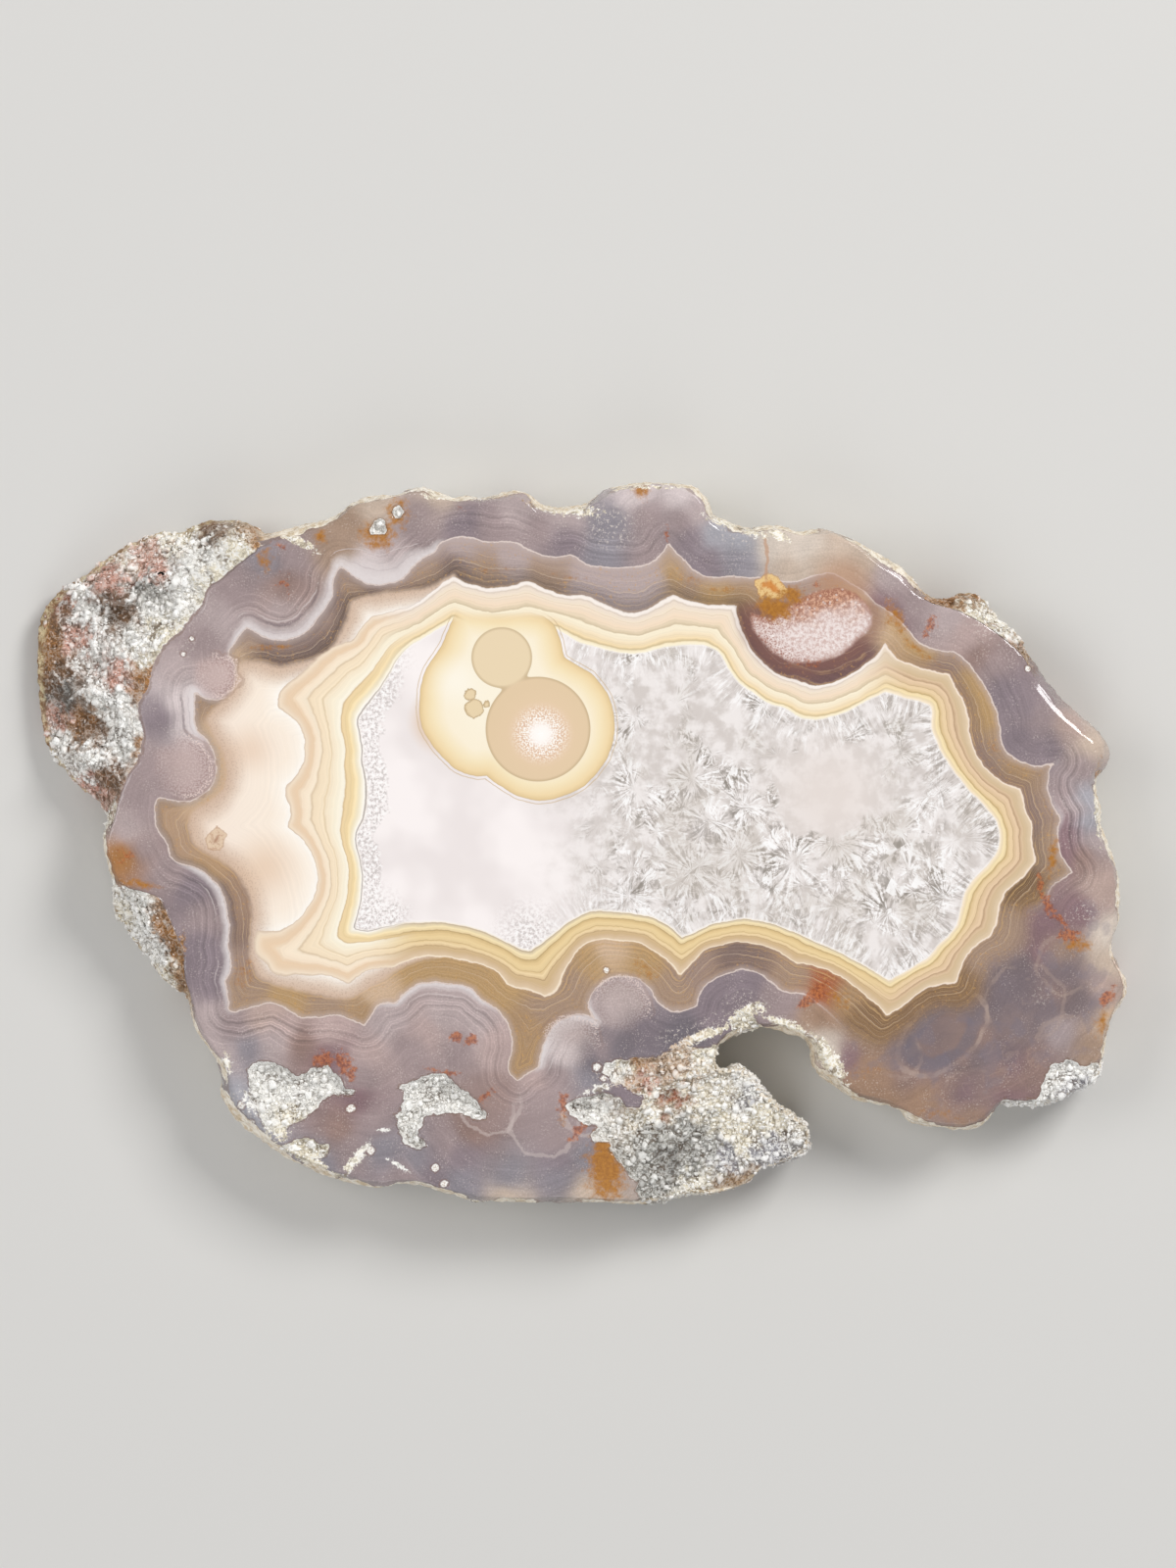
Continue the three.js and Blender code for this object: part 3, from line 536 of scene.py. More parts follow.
# Colours by name, as they look on a screen.
PALETTE = {
    "mauve": (158, 140, 139),
    "dark mauve": (136, 122, 127),
    "lilac": (181, 164, 162),
    "pale lilac": (214, 200, 198),
    "pink lilac": (185, 162, 157),
    "slate": (142, 136, 142),
    "deep slate": (116, 108, 114),
    "pale slate": (170, 168, 174),
    "plum": (136, 108, 112),
    "milk": (216, 202, 188),
    "beige": (198, 178, 160),
    "rosy beige": (184, 160, 150),
    "rosy brown": (148, 122, 113),
    "lobe grey": (122, 108, 110),
    "lobe tan": (160, 129, 106),
    "lobe umber": (134, 105, 77),
    "umber": (168, 137, 104),
    "brown": (162, 136, 116),
    "grey brown": (156, 132, 119),
    "dark brown": (128, 107, 99),
    "dark plum": (122, 92, 90),
    "gold": (180, 147, 104),
    "tan": (206, 177, 148),
    "rust": (166, 96, 62),
    "amber": (166, 114, 58),
    "bark": (126, 90, 58),
    "white": (240, 238, 232),
    "cream": (234, 224, 200),
    "grey": (168, 166, 159),
    "salmon": (214, 160, 141),
    "charcoal": (112, 108, 102),
}
# Where the grey outer agate takes which colour.
OUTER_PLACES = {
    "mauve": [
        (24, 60), (29.3, 56.9), (20.5, 66), (42.5, 54.5), (43.5, 52), (50, 54), (55, 54),
        (66, 53), (69.5, 53.3), (93, 61.5), (101, 68), (106, 73), (108.3, 80.5), (110.5, 78.5),
        (79.5, 101.6), (61.5, 107), (56.5, 110), (57.5, 116), (37.5, 109.5), (36, 117.5),
        (41.5, 120), (23.8, 104.5), (21, 93.5), (17, 89), (14.5, 86.5), (14.5, 82), (16, 79),
        (46.5, 107), (38, 114), (46, 116.5), (42, 107), (66.5, 56.5), (54.6, 112.6),
    ],
    "lobe grey": [
        (96, 105.5), (101, 104), (103, 101), (107, 103), (103, 107.5), (97, 108.5), (92.5, 107.5),
        (104, 98.6), (108.5, 99.6), (100, 108), (99.3, 107.6), (109, 102.4), (110.6, 101.8),
        (105, 105.4),
    ],
    "dark mauve": [
        (102.6, 70.8), (105.2, 72.4), (16.8, 73.5), (47.5, 53.5), (57.5, 55.4), (57, 119),
        (47.4, 118), (44, 120), (72, 57.4), (104, 75.5), (107, 76.5), (76, 101), (73, 102.6),
        (66, 105), (20.5, 97), (19.5, 91), (63.5, 111), (70.3, 55), (21.5, 100),
    ],
    "deep slate": [(66, 105.2), (69, 105.6), (63, 106.8), (60.6, 108.2), (60.2, 106.4)],
    "lilac": [
        (22.5, 63.5), (18.6, 68.5), (28.5, 61.6), (40, 56.4), (53, 51.5), (57.5, 53), (71.5, 52.5),
        (91.5, 58.7), (96.5, 62.6), (59, 105.5), (64.5, 101.2), (45.5, 103.5), (48.5, 104.3),
        (39.5, 104.5), (27.5, 106.2), (22.5, 107.2), (21, 104), (13, 84.5), (62.3, 102.6),
        (109.2, 82.5), (108.5, 105.5), (111.6, 86),
    ],
    "pale lilac": [(18.9, 71), (19, 74), (65, 50.4), (69.5, 50.4), (37.5, 57.6), (57.5, 107.4)],
    "pink lilac": [
        (22, 69), (18.8, 78), (43.5, 105.5), (50.5, 106.5), (33.5, 105.2),
        (29, 104.3), (54.5, 110.5), (99, 65), (38, 108),
    ],
    "slate": [
        (27.5, 57.5), (62, 53.6), (61.5, 56.4), (75.5, 57.2), (60, 110), (59.8, 118), (52, 120),
        (57, 120), (47, 120.5), (39, 117), (33, 118.6), (25, 106.8), (42.5, 118.8),
    ],
    "pale slate": [
        (75.5, 55), (72.8, 54.4), (111, 84), (110.8, 81.2), (24.5, 114.6), (23.4, 112.6),
    ],
    "plum": [
        (109.2, 85.3), (108.6, 83.6), (108.6, 87.2), (36.5, 112.5), (86.5, 107.5), (91, 62.3),
        (33.5, 107.6), (110.3, 93.4), (103.5, 108.5), (106.5, 94.6), (106.4, 97), (103, 111.6),
        (98.4, 111.4),
    ],
    "milk": [(79, 55), (82, 56), (113, 95.6), (84.4, 106.6)],
    "beige": [
        (88, 56.7), (38.3, 51.7), (44.5, 50.5), (85.5, 55.5), (80.5, 58), (84, 57.6), (111.4, 76),
        (113.2, 97.5), (60, 121.8), (52, 122.2),
    ],
    "rosy beige": [(109.5, 74.3), (112.5, 90.5), (112.4, 100.8), (28.5, 103), (26.8, 104.2)],
    "rosy brown": [
        (35, 115), (48, 115.4), (97, 111), (94, 109.3), (98, 107.8), (103, 110.6), (106, 108),
        (110.5, 87.8), (108, 101.5), (31.5, 106.8), (100, 67.3), (50, 112), (99.8, 106),
        (28.8, 59.4), (28.6, 60.6), (104.6, 109.4), (100, 111.4), (96.5, 109.6), (92.6, 110),
        (101.6, 109),
    ],
    "brown": [(36, 53.4), (88.4, 105), (110.5, 107), (34.5, 56), (108, 97)],
    "tan": [(113.6, 104.5)],
    "lobe tan": [
        (88.4, 110.2), (90, 112.4), (89, 108.6), (94, 112), (99.5, 114), (94.7, 114.4), (84, 104),
    ],
    "amber": [(12.6, 87.3)],
}
# And where the brown bands do.
BROWN_PLACES = {
    "gold": [
        (30, 101.8), (43, 99.2), (49, 99.5), (51.5, 101.4), (60.2, 98), (66, 98.2), (73, 60),
        (68.8, 58.4), (94, 66.4), (91.4, 64), (100.3, 73), (98.4, 70),
    ],
    "umber": [
        (21, 88.6), (37, 103.2), (53.6, 104.5), (53.2, 108), (86.5, 102), (104, 79), (76, 60.4),
    ],
    "brown": [
        (17.6, 83.2), (18.8, 85.8), (25, 100.6), (106.6, 86.5), (33, 102.5), (55.5, 103), (58, 100),
        (80.8, 99.2), (102.5, 95), (106.3, 80), (101, 77), (25, 65.6), (20.8, 72.6), (36, 60.6),
        (50, 57.6), (44, 57.9), (56, 58.2), (70.5, 59.4), (68, 101), (101, 97.6),
    ],
    "grey brown": [(24.5, 98.6), (33.5, 63.4), (40, 60.3), (70, 98.6), (105.8, 82.8), (97, 67.6)],
    "dark brown": [
        (23.9, 91.6), (24.5, 95), (30, 65.9), (27.6, 66), (32, 65.2), (34.6, 64.2), (36, 61.8),
        (38.5, 60.6), (34, 61.6), (75.7, 97.7), (46, 57.6),
    ],
    "lobe umber": [
        (104, 90.5), (90, 104), (92, 104.2), (94.6, 102.8), (98.5, 101.4), (87.5, 104.5),
    ],
    "dark plum": [(76, 64), (77.2, 66.4), (80, 68.2), (84, 68.8), (88, 67)],
    "tan": [
        (23.6, 67), (22.5, 77), (22.6, 80), (19.5, 82.6), (38.2, 101.3), (62, 96.8), (89, 63.3),
        (90.4, 64.3), (21.6, 74),
    ],
    "lilac": [(46.8, 56), (52, 56.6), (60, 58.8), (63.4, 59.2), (66, 59.2)],
    "rust": [(84, 100.8)],
}
# And the crusts, the skin and the rims.
RIND_PLACES = {
    "white": [
        (25.6, 108.6), (27.4, 112.4), (30, 112), (33.6, 110.4), (28.6, 109), (43.2, 111.4),
        (43.6, 116), (21, 57), (18.4, 58.6), (15, 62), (13, 66), (13, 76), (10, 72), (7, 61.6),
        (9, 66.8), (8.5, 78), (13, 92), (14.6, 94.4), (15.5, 97.6), (28, 110), (31.6, 111),
        (46, 110.8), (44, 114.6), (47.5, 113.2), (62.6, 108.8), (60, 113), (77, 110.4),
        (108, 109.6), (104.6, 112), (11.4, 71), (17, 61), (113, 110), (9.4, 62.4), (38.6, 53.9),
        (40.5, 52), (6, 75.8), (12.4, 74),
    ],
    "cream": [
        (13, 56.6), (17, 64.6), (16.2, 66.4), (25, 56.6), (22, 59.6), (12.4, 93), (17, 99.5),
        (29.5, 113.4), (31.4, 117.3), (69, 111), (74, 113.6), (78, 115.4), (76, 104), (57, 51.4),
        (46, 50.4), (74, 53), (91, 57.4), (102, 63.6), (112.3, 81), (112.5, 84.6), (73, 107.4),
        (84.4, 109), (30, 54), (48, 122.4), (21.4, 108), (28, 118), (63.6, 108.4), (71, 121),
        (67.4, 111.1), (71, 112.8), (66.6, 113.4), (75.4, 116.4), (77.6, 113), (18, 54.2),
        (99, 62.2), (113, 106), (97, 115.2), (37, 50.6), (66, 49.2), (85, 54), (112, 74.4),
        (114.4, 92), (10.5, 85), (83, 107),
    ],
    "salmon": [
        (11.4, 59), (13.6, 56.4), (8, 65.2), (11.8, 68.8), (9.4, 80.2), (15.8, 58.6),
        (5.4, 73.6), (66.6, 110.3), (101, 66), (114.8, 100.6), (111.6, 73.8),
    ],
    "amber": [
        (4.3, 64), (4.5, 66.6), (8.6, 73.4), (14.9, 69.8), (14.6, 76.6), (18.2, 96.4), (17.5, 93.4),
        (18.1, 94.9), (18.6, 98), (18.7, 99.6), (99, 60.6), (26.8, 55), (113.4, 77.4), (96.6, 61.2),
        (6.8, 74.8), (65.2, 109.2),
    ],
    "umber": [(75, 121), (104.8, 67), (53.6, 50.4)],
    "bark": [
        (11, 61.2), (5, 62), (20.6, 53.4), (12.2, 62.4), (9.2, 74.2), (6.2, 69.4), (10.4, 79.6),
        (16.6, 72.6),
    ],
    "tan": [(69, 109.2), (67, 108.9), (64.6, 109.4)],
    "rust": [(68.8, 112.1), (5.3, 61.4)],
    "grey": [
        (67, 117), (70, 119), (66.6, 120.6), (69.4, 115.6), (72, 116), (14, 59.6), (16, 60.4),
    ],
    "charcoal": [(6.4, 71), (68.2, 118)],
    "pale slate": [(78.5, 117.6), (74, 118.2), (110, 111.4), (76.8, 112)],
}
# Stains with ragged edges: centre, reach along and across, turn in degrees, and strength.
STAINS = {
    "rust": [
        (33, 108.2, 0.9, 1, 40, 1), (35, 108.4, 0.9, 1.1, -30, 0.9), (35.9, 109.4, 0.6, 0.8, 0, 0.9),
        (46.6, 105.8, 0.7, 0.5, 0, 1), (48.1, 106.1, 0.7, 0.5, 0, 1), (83, 101.6, 1.7, 0.7, -35, 1),
        (106.2, 90.4, 0.35, 1.6, -6, 0.85), (106.8, 92.2, 0.5, 1.1, -20, 0.95),
        (108, 93.6, 0.4, 1.3, -50, 0.8), (109, 95.4, 1, 0.6, 10, 1),
        (113, 101.8, 0.6, 1.2, 40, 0.9), (94.9, 63.9, 0.6, 1.2, 30, 0.8),
        (45, 109.4, 1.9, 0.4, 5, 0.7), (49.6, 112, 1.6, 0.5, -45, 0.7), (57.4, 112.8, 0.6, 1.4, 0, 0.8),
        (59, 115.4, 1.4, 0.5, -50, 0.9), (29, 59.6, 0.9, 1.6, 0, 0.55), (68, 54.5, 0.35, 1, 0, 0.6),
        (84, 59.6, 2.6, 0.5, -8, 0.5), (82, 67.8, 2.4, 0.4, -5, 0.6), (12.7, 87.3, 1.1, 1, 0, 0.6),
        (28.5, 55.7, 1, 0.4, 15, 0.7), (47.2, 51.8, 0.7, 0.6, 0, 0.5),
    ],
    "amber": [
        (61.9, 119.2, 1.6, 3, 0, 1), (61.6, 116.6, 0.9, 1.8, 0, 1), (79, 62, 1.5, 1, 20, 1),
        (80.8, 60.8, 0.9, 0.8, 0, 1), (32.7, 54.8, 0.6, 0.6, 0, 0.8), (65.4, 50, 0.8, 0.7, 0, 0.9),
        (85.4, 101.8, 1.6, 0.8, 35, 0.55), (27, 57, 0.8, 1.4, 0, 0.6), (38.6, 54.6, 1.5, 1.2, 0, 0.9),
        (40.6, 52.4, 1, 1.3, 0, 0.8), (110, 96.4, 1.3, 0.8, 0, 0.7), (107.4, 87.4, 0.4, 1.6, 10, 0.8),
        (112.4, 104.6, 0.8, 1.4, 0, 0.6), (88.6, 109.4, 1.5, 1, 0, 0.4), (91.4, 63, 0.8, 1.6, -20, 0.7),
        (96, 113.8, 3, 0.8, 0, 0.35), (14.2, 90.2, 1.8, 0.4, 8, 0.7), (57.5, 114, 0.5, 1, 0, 0.6),
        (70.5, 59, 2, 0.5, 8, 0.4), (74, 60.1, 2, 0.3, 0, 0.5), (27.6, 66, 2.2, 0.3, 0, 0.6),
        (93.5, 66.2, 2, 0.4, 35, 0.6), (50, 58.2, 3, 0.4, -3, 0.35), (58, 58.9, 2.4, 0.4, 5, 0.4),
        (101.4, 76.2, 1.4, 0.4, 45, 0.4), (25, 99.4, 0.8, 1.6, 10, 0.5), (66, 99, 1.6, 0.8, 20, 0.5),
    ],
}
# Where lines nest outside the grey edge, where a pale collar follows it, whose strength is its
# width in mm, and where white specks are sprinkled, written as the stains are.
STAINS["nested"] = [
    (29, 60, 4.5, 3.5, 0, 0.9), (41, 56, 2.4, 1.6, 20, 0.6), (51, 52.6, 6, 1.8, 0, 0.6),
    (62, 55, 4.5, 2.2, 0, 0.7), (19.5, 92, 2.6, 9, 0, 0.8), (27.5, 105, 5.5, 2.6, 0, 1),
    (36, 107, 4, 2.2, 0, 0.7), (46.5, 103.5, 6.5, 2.4, 0, 0.8), (52, 111.5, 2.8, 5, 0, 0.75),
    (57.5, 108.5, 2.6, 3.5, 0, 0.5), (110, 83, 2.6, 6, 0, 1), (104, 71, 3.5, 6, -25, 0.35),
    (17.5, 69, 2, 5, 15, 0.5), (73.6, 57.2, 3.4, 1.6, 0, 0.4), (90, 59.5, 6, 2, 30, 0.12),
    (70, 102.5, 6, 2.2, 0, 0.45),
]
STAINS["collar"] = [
    (28.7, 61.5, 5, 3.6, 0, 1.5), (38.5, 57.4, 3.4, 3, 0, 2.6), (21.5, 94, 2.6, 8, 0, 0.8),
    (18.4, 72, 1.6, 4, 0, 1), (45, 101.6, 6, 1.8, 0, 0.7), (57.8, 106, 2.4, 2.6, 0, 1.6),
    (109, 81, 1.4, 4, 0, 0.5),
]
STAINS["specks"] = [
    (76, 102.4, 2, 1.2, 0, 0.8), (72.6, 104.2, 2.4, 0.8, -20, 0.7),
    (79.4, 104.2, 1.6, 0.8, 10, 0.7),
    (69, 105.6, 2.4, 0.8, -15, 0.7), (62.4, 53.6, 3, 2.4, 0, 0.7), (75.5, 54.4, 2, 1.2, 0, 0.8),
    (111, 93, 1.6, 1.8, 0, 0.6), (106.2, 101.4, 1.6, 1.8, 0, 0.5),
    (24.5, 113.6, 1.4, 2.4, -30, 0.9), (19, 66, 1.4, 2.6, 20, 0.5),
    (100.4, 64.5, 2.6, 1.2, 35, 0.6), (30.4, 62.2, 3, 0.8, 20, 0.4),
    (61.6, 109.4, 1.2, 1, 0, 0.8), (58, 113.8, 1.6, 1.4, 0, 0.5), (34.6, 110.6, 2, 1.6, 0, 0.5),
]
# Thin cream crusts on the face, along the rim and the notch.
STAINS["thin_crust"] = [
    (30, 55, 2.6, 0.5, 28, 1), (47.5, 50.6, 4.2, 0.4, 0, 1), (57.5, 51.8, 3.6, 0.7, 8, 1),
    (75, 53.6, 3.2, 0.5, 20, 1), (79.5, 54.6, 1.4, 0.5, 30, 0.9), (91.5, 57.8, 3.8, 0.5, 32, 0.9),
    (112.2, 81.6, 0.5, 3.6, 0, 1), (76, 103.5, 2, 0.8, -25, 1), (71.5, 105.8, 3.4, 0.5, -22, 1),
    (80.5, 104.7, 2.4, 0.5, 22, 1), (84.6, 108.2, 0.9, 2.8, -35, 1), (23, 108.6, 0.7, 1.2, 0, 0.9),
    (31.6, 118.4, 2.4, 0.5, 28, 1), (36.4, 118.2, 0.5, 1.8, 40, 1), (40.6, 118.9, 1.3, 0.25, 32, 1),
    (33.6, 119.9, 2, 0.4, 8, 0.9), (61.4, 111, 2.8, 0.5, -20, 0.8), (39.2, 115.3, 0.8, 0.2, 0, 1),
    (25.8, 112.4, 1.2, 1.8, -35, 0.75), (28.2, 115.4, 1.6, 1.2, 35, 0.8),
    (18.4, 97.4, 0.5, 3, 10, 0.8), (99.6, 62, 2.6, 0.5, 36, 0.8), (66.5, 49.7, 4, 0.3, 0, 0.7),
    (48, 122.6, 4, 0.25, 5, 0.7),
]
# Curled ridges of white crust on the skin: their radius, and points along them.
CURLS = [
    (0.26, [(7, 71.2), (8.4, 70.4), (9.8, 70.6), (11, 71.2), (11.5, 72)]),
    (0.22, [(8.5, 75.9), (9.6, 75.6), (10.6, 76), (11.6, 75.8)]),
    (0.2, [(8.7, 76.8), (9.8, 76.5), (10.8, 76.9), (11.8, 76.6)]),
    (0.2, [(9.2, 77.8), (10.2, 77.4), (11.2, 77.8)]),
    (0.32, [(6, 59.9), (7.2, 59.7), (8.4, 60)]),
    (0.28, [(8.8, 60.5), (9.6, 60.9), (10, 61.6)]),
    (0.3, [(10.4, 61.3), (11.6, 61.4), (13, 61.2), (13.6, 60.7)]),
    (0.22, [(9.4, 62.8), (9.6, 64.2), (9.4, 65.6), (9.8, 67)]),
    (0.24, [(13.4, 65.8), (14.8, 65.4), (15.8, 65.8), (16.6, 65)]),
    (0.2, [(5.2, 68.6), (6, 69.4), (7, 69.2), (7.6, 68.4)]),
    (0.24, [(12.6, 70.6), (12.2, 72), (12.6, 73.4), (12.2, 74.8)]),
    (0.22, [(12.4, 77.2), (11.6, 78.4), (12.2, 79.6)]),
    (0.2, [(7, 63), (7.8, 62.4), (8.6, 63), (8.2, 63.8)]),
    (0.22, [(14.4, 59.2), (15.8, 58.6), (17.2, 58.6)]),
    (0.24, [(12.8, 91.6), (13.8, 92.6), (14.2, 94), (15, 95.2)]),
    (0.2, [(15.4, 96), (16, 97.4), (17, 98.4)]),
]
# Small white crusts lying on the polished face: centre and reach.
WHITE_DOTS = [
    (35.8, 113.1, 0.45), (60.9, 108.9, 0.4), (61.6, 110, 0.34), (24.6, 112.8, 0.4),
    (25.6, 114.6, 0.3), (44.4, 119.2, 0.4), (45.3, 120.8, 0.38), (37.8, 117.4, 0.42),
    (29.6, 117.8, 0.3), (19.6, 65.2, 0.22), (18.7, 66.7, 0.22), (61.9, 99, 0.28),
    (104.9, 68.2, 0.3),
]


def on_frame(points):
    """Points of the sheet in the part's own frame, where y runs up. Other columns stay as they are."""
    points = np.asarray(points, float).copy()
    points[:, 0] -= SHEET_CENTRE[0]
    points[:, 1] = SHEET_CENTRE[1] - points[:, 1]
    return points


def between(a, b, share):
    return a + (b - a) * share


def rising(value, low, high):
    """0 below low, 1 above high, and a smooth rise between them."""
    share = np.clip((value - low) / (high - low), 0, 1)
    return share * share * (3 - 2 * share)


def lumps(x, y, z):
    """The smooth, lumpy relief of the rim, from -1 to 1."""
    waves = [np.sin(a * x + b * y + c * z + start) for a, b, c, start in LUMP_WAVES]
    return sum(waves) / len(waves)


def rough(points, scale, octaves=3):
    """Fractal noise at each point, about -1 to 1. The scale is in cycles per mm."""
    return np.array([noise.fractal(Vector(point) * scale, 1, 2, octaves) for point in points])


def knobs(points, scale):
    """Rounded knobs, 1 on top and about -1 in the gaps. The scale is in knobs per mm."""
    return np.array([1 - 2 * noise.voronoi(Vector(point) * scale)[0][0] for point in points])


def piece_of_spline(before, start, end, after, share, spans):
    """A point between start and end on a Catmull-Rom spline whose knots lie the spans apart."""
    first, middle, last = spans
    leave = (start - before) / first - (end - before) / (first + middle) + (end - start) / middle
    arrive = (end - start) / middle - (after - start) / (middle + last) + (after - end) / last
    leave, arrive = leave * middle, arrive * middle
    bend = 3 * (end - start) - 2 * leave - arrive
    twist = 2 * (start - end) + leave + arrive
    return start + share * (leave + share * (bend + share * twist))


def spline(points, shares):
    """Points of an open centripetal Catmull-Rom spline, at shares of its number of pieces."""
    points = np.asarray(points, float)
    padded = np.vstack([2 * points[0] - points[1], points, 2 * points[-1] - points[-2]])
    place = shares * (len(points) - 1)
    piece = np.minimum(place.astype(int), len(points) - 2)
    corners = [padded[piece + step] for step in range(4)]
    spans = [
        np.sqrt(np.linalg.norm(b - a, axis=1))[:, None] for a, b in zip(corners, corners[1:])
    ]
    return piece_of_spline(*corners, (place - piece)[:, None], spans)


def length_through(points):
    """The length of the straight lines from each point to the next."""
    return np.linalg.norm(np.diff(points, axis=0), axis=1).sum()


def spaced(points, count):
    """Points spaced evenly along that spline, by its length over many steps."""
    steps = np.linspace(0, 1, SPLINE_STEPS + 1)
    chords = np.linalg.norm(np.diff(spline(points, steps), axis=0), axis=1)
    walked = np.concatenate([[0], np.cumsum(chords)])
    return spline(points, np.interp(np.linspace(0, walked[-1], count + 1), walked, steps))


def frayed(points, reach, scale):
    """The points seen from above, moved about so that what is laid out by them gets ragged edges."""
    strays = [rough(points, scale), rough(points + NOISE_APART, scale)]
    return points[:, :2] + reach * np.column_stack(strays)


def off_bevel(places):
    """How far each place is from the line along which the rim has its bevel."""
    course = on_frame(BEVEL)
    run = np.diff(course, axis=0)
    return to_pieces(places, course[:-1], run, np.linalg.norm(run, axis=1))[0].min(axis=1)


def evened(rows):
    """The values of each column round the rim, evened out with its neighbours' values."""
    return (2 * rows + np.roll(rows, 1, axis=0) + np.roll(rows, -1, axis=0)) / 4


def rim_columns():
    """Fine columns round the rim, counterclockwise: the widest outline, the face's edge, the way
    out, the slope of the skin, from 0 on a thin rim to 1, and the share of a ledge."""
    outer, inner, width, slope, ledge = [], [], [], [], []
    for stretch in STRETCHES:
        skin = on_frame([(*point, RIM_WIDTH)[:3] for point in stretch["skin"]])
        sloping = "face" in stretch
        spacing = SKIN_SPACING if sloping else RIM_SPACING
        count = max(3, round(length_through(skin[:, :2]) / spacing))
        along = spaced(skin, count)[:-1]
        outer.append(along[:, :2])
        width.append(along[:, 2])
        inner.append(spaced(on_frame(stretch["face"]), count)[:-1] if sloping else 0 * along[:, :2])
        slope += [float(sloping)] * count
        ledge += [float("ledge" in stretch)] * count
    outer, inner, width = (np.concatenate(parts)[::-1] for parts in (outer, inner, width))
    slope, ledge = np.array(slope)[::-1], np.array(ledge)[::-1]
    along = np.roll(outer, -2, axis=0) - np.roll(outer, 2, axis=0)
    out = np.column_stack([along[:, 1], -along[:, 0]]) / np.linalg.norm(along, axis=1)[:, None]
    bevel = BEVEL_WIDTH * (1 - rising(off_bevel(outer), *BEVEL_ENDS))
    edge = evened(np.where(slope[:, None] > 0, inner, outer - out * width[:, None]))
    beveled = (bevel / BEVEL_WIDTH)[:, None]
    for _ in range(BEVEL_EVENINGS):
        edge = between(edge, evened(edge), beveled)
        out = between(out, evened(out), beveled)
    slope = (slope + np.roll(slope, 1) + np.roll(slope, -1)) / 3
    coarse = np.column_stack([outer, edge, out, slope, ledge, bevel])
    corners = [np.roll(coarse, 1 - step, axis=0) for step in range(4)]
    shares = np.arange(BETWEEN_COLUMNS) / BETWEEN_COLUMNS
    fine = np.stack([piece_of_spline(*corners, share, (1, 1, 1)) for share in shares], axis=1)
    fine = fine.reshape(-1, coarse.shape[1])
    slope, ledge, bevel = np.clip(fine[:, 6:], 0, 1).T
    return fine[:, 0:2], fine[:, 2:4], fine[:, 4:6], slope, ledge, bevel


def ledge_rise(at):
    """How far the skin rises above its ledge line, and sinks below it."""
    x, y = on_frame(LEDGE).T
    return LEDGE_HEIGHT * np.clip((at[:, 1] - np.interp(at[:, 0], x, y)) / LEDGE_WIDTH, -1, 1)


def column_points(outer, edge, out, slope, ledge, bevel):
    """The points of one column from the face's edge down to the back, and how far down each is:
    0 to 1 down to the widest outline, and 1 to 2 from there to the back."""
    widest = between(WIDEST_HEIGHT, SKIN_WIDEST_HEIGHT, slope)
    length = math.hypot(np.linalg.norm(outer - edge), THICKNESS - widest)
    down = np.linspace(0, 1, 1 + round(length / RING_SPACING))
    turn = down * math.pi / 2
    across = between(np.sin(turn), down, slope / 2)
    fall = between(1 - np.cos(turn), down, slope / 2)
    at = edge + across[:, None] * (outer - edge)
    z = THICKNESS - (THICKNESS - widest) * fall
    swell = np.sin(math.pi * down)
    lump = lumps(at[:, 0], at[:, 1], z)
    rise = SKIN_LUMP * lump + ledge * ledge_rise(at)
    at = at + out * (swell * RIM_LUMP * lump)[:, None]
    z = np.minimum(z + slope * swell * rise, THICKNESS)
    under = np.linspace(0, 1, UNDER_RINGS + 1)[1:]
    below = outer - out * (BACK_INSET * under * under)[:, None]
    z = z - BEVEL_FALL * bevel * (1 - down)
    points = np.column_stack([np.vstack([at, below]), np.append(z, widest * (1 - under))])
    down = np.append(down, 1 + under)
    if bevel > BEVEL_LEAST:
        shares = np.linspace(1, 0, BEVEL_RINGS + 1)[:-1]
        flat = edge - out * (bevel * shares)[:, None]
        lead = np.column_stack([flat, THICKNESS - BEVEL_FALL * bevel * (1 - shares)])
        points = np.vstack([lead, points])
        down = np.append(np.zeros(BEVEL_RINGS), down)
    return points, down


def zipped(one, other):
    """Triangles between two neighbouring columns of point numbers, which may differ in length."""
    triangles = []
    i = j = 0
    while i + 1 < len(one) or j + 1 < len(other):
        step_one = (i + 1) / (len(one) - 1)
        step_other = (j + 1) / (len(other) - 1)
        if step_one <= step_other:
            triangles.append((one[i], one[i + 1], other[j]))
            i += 1
        else:
            triangles.append((one[i], other[j + 1], other[j]))
            j += 1
    return triangles


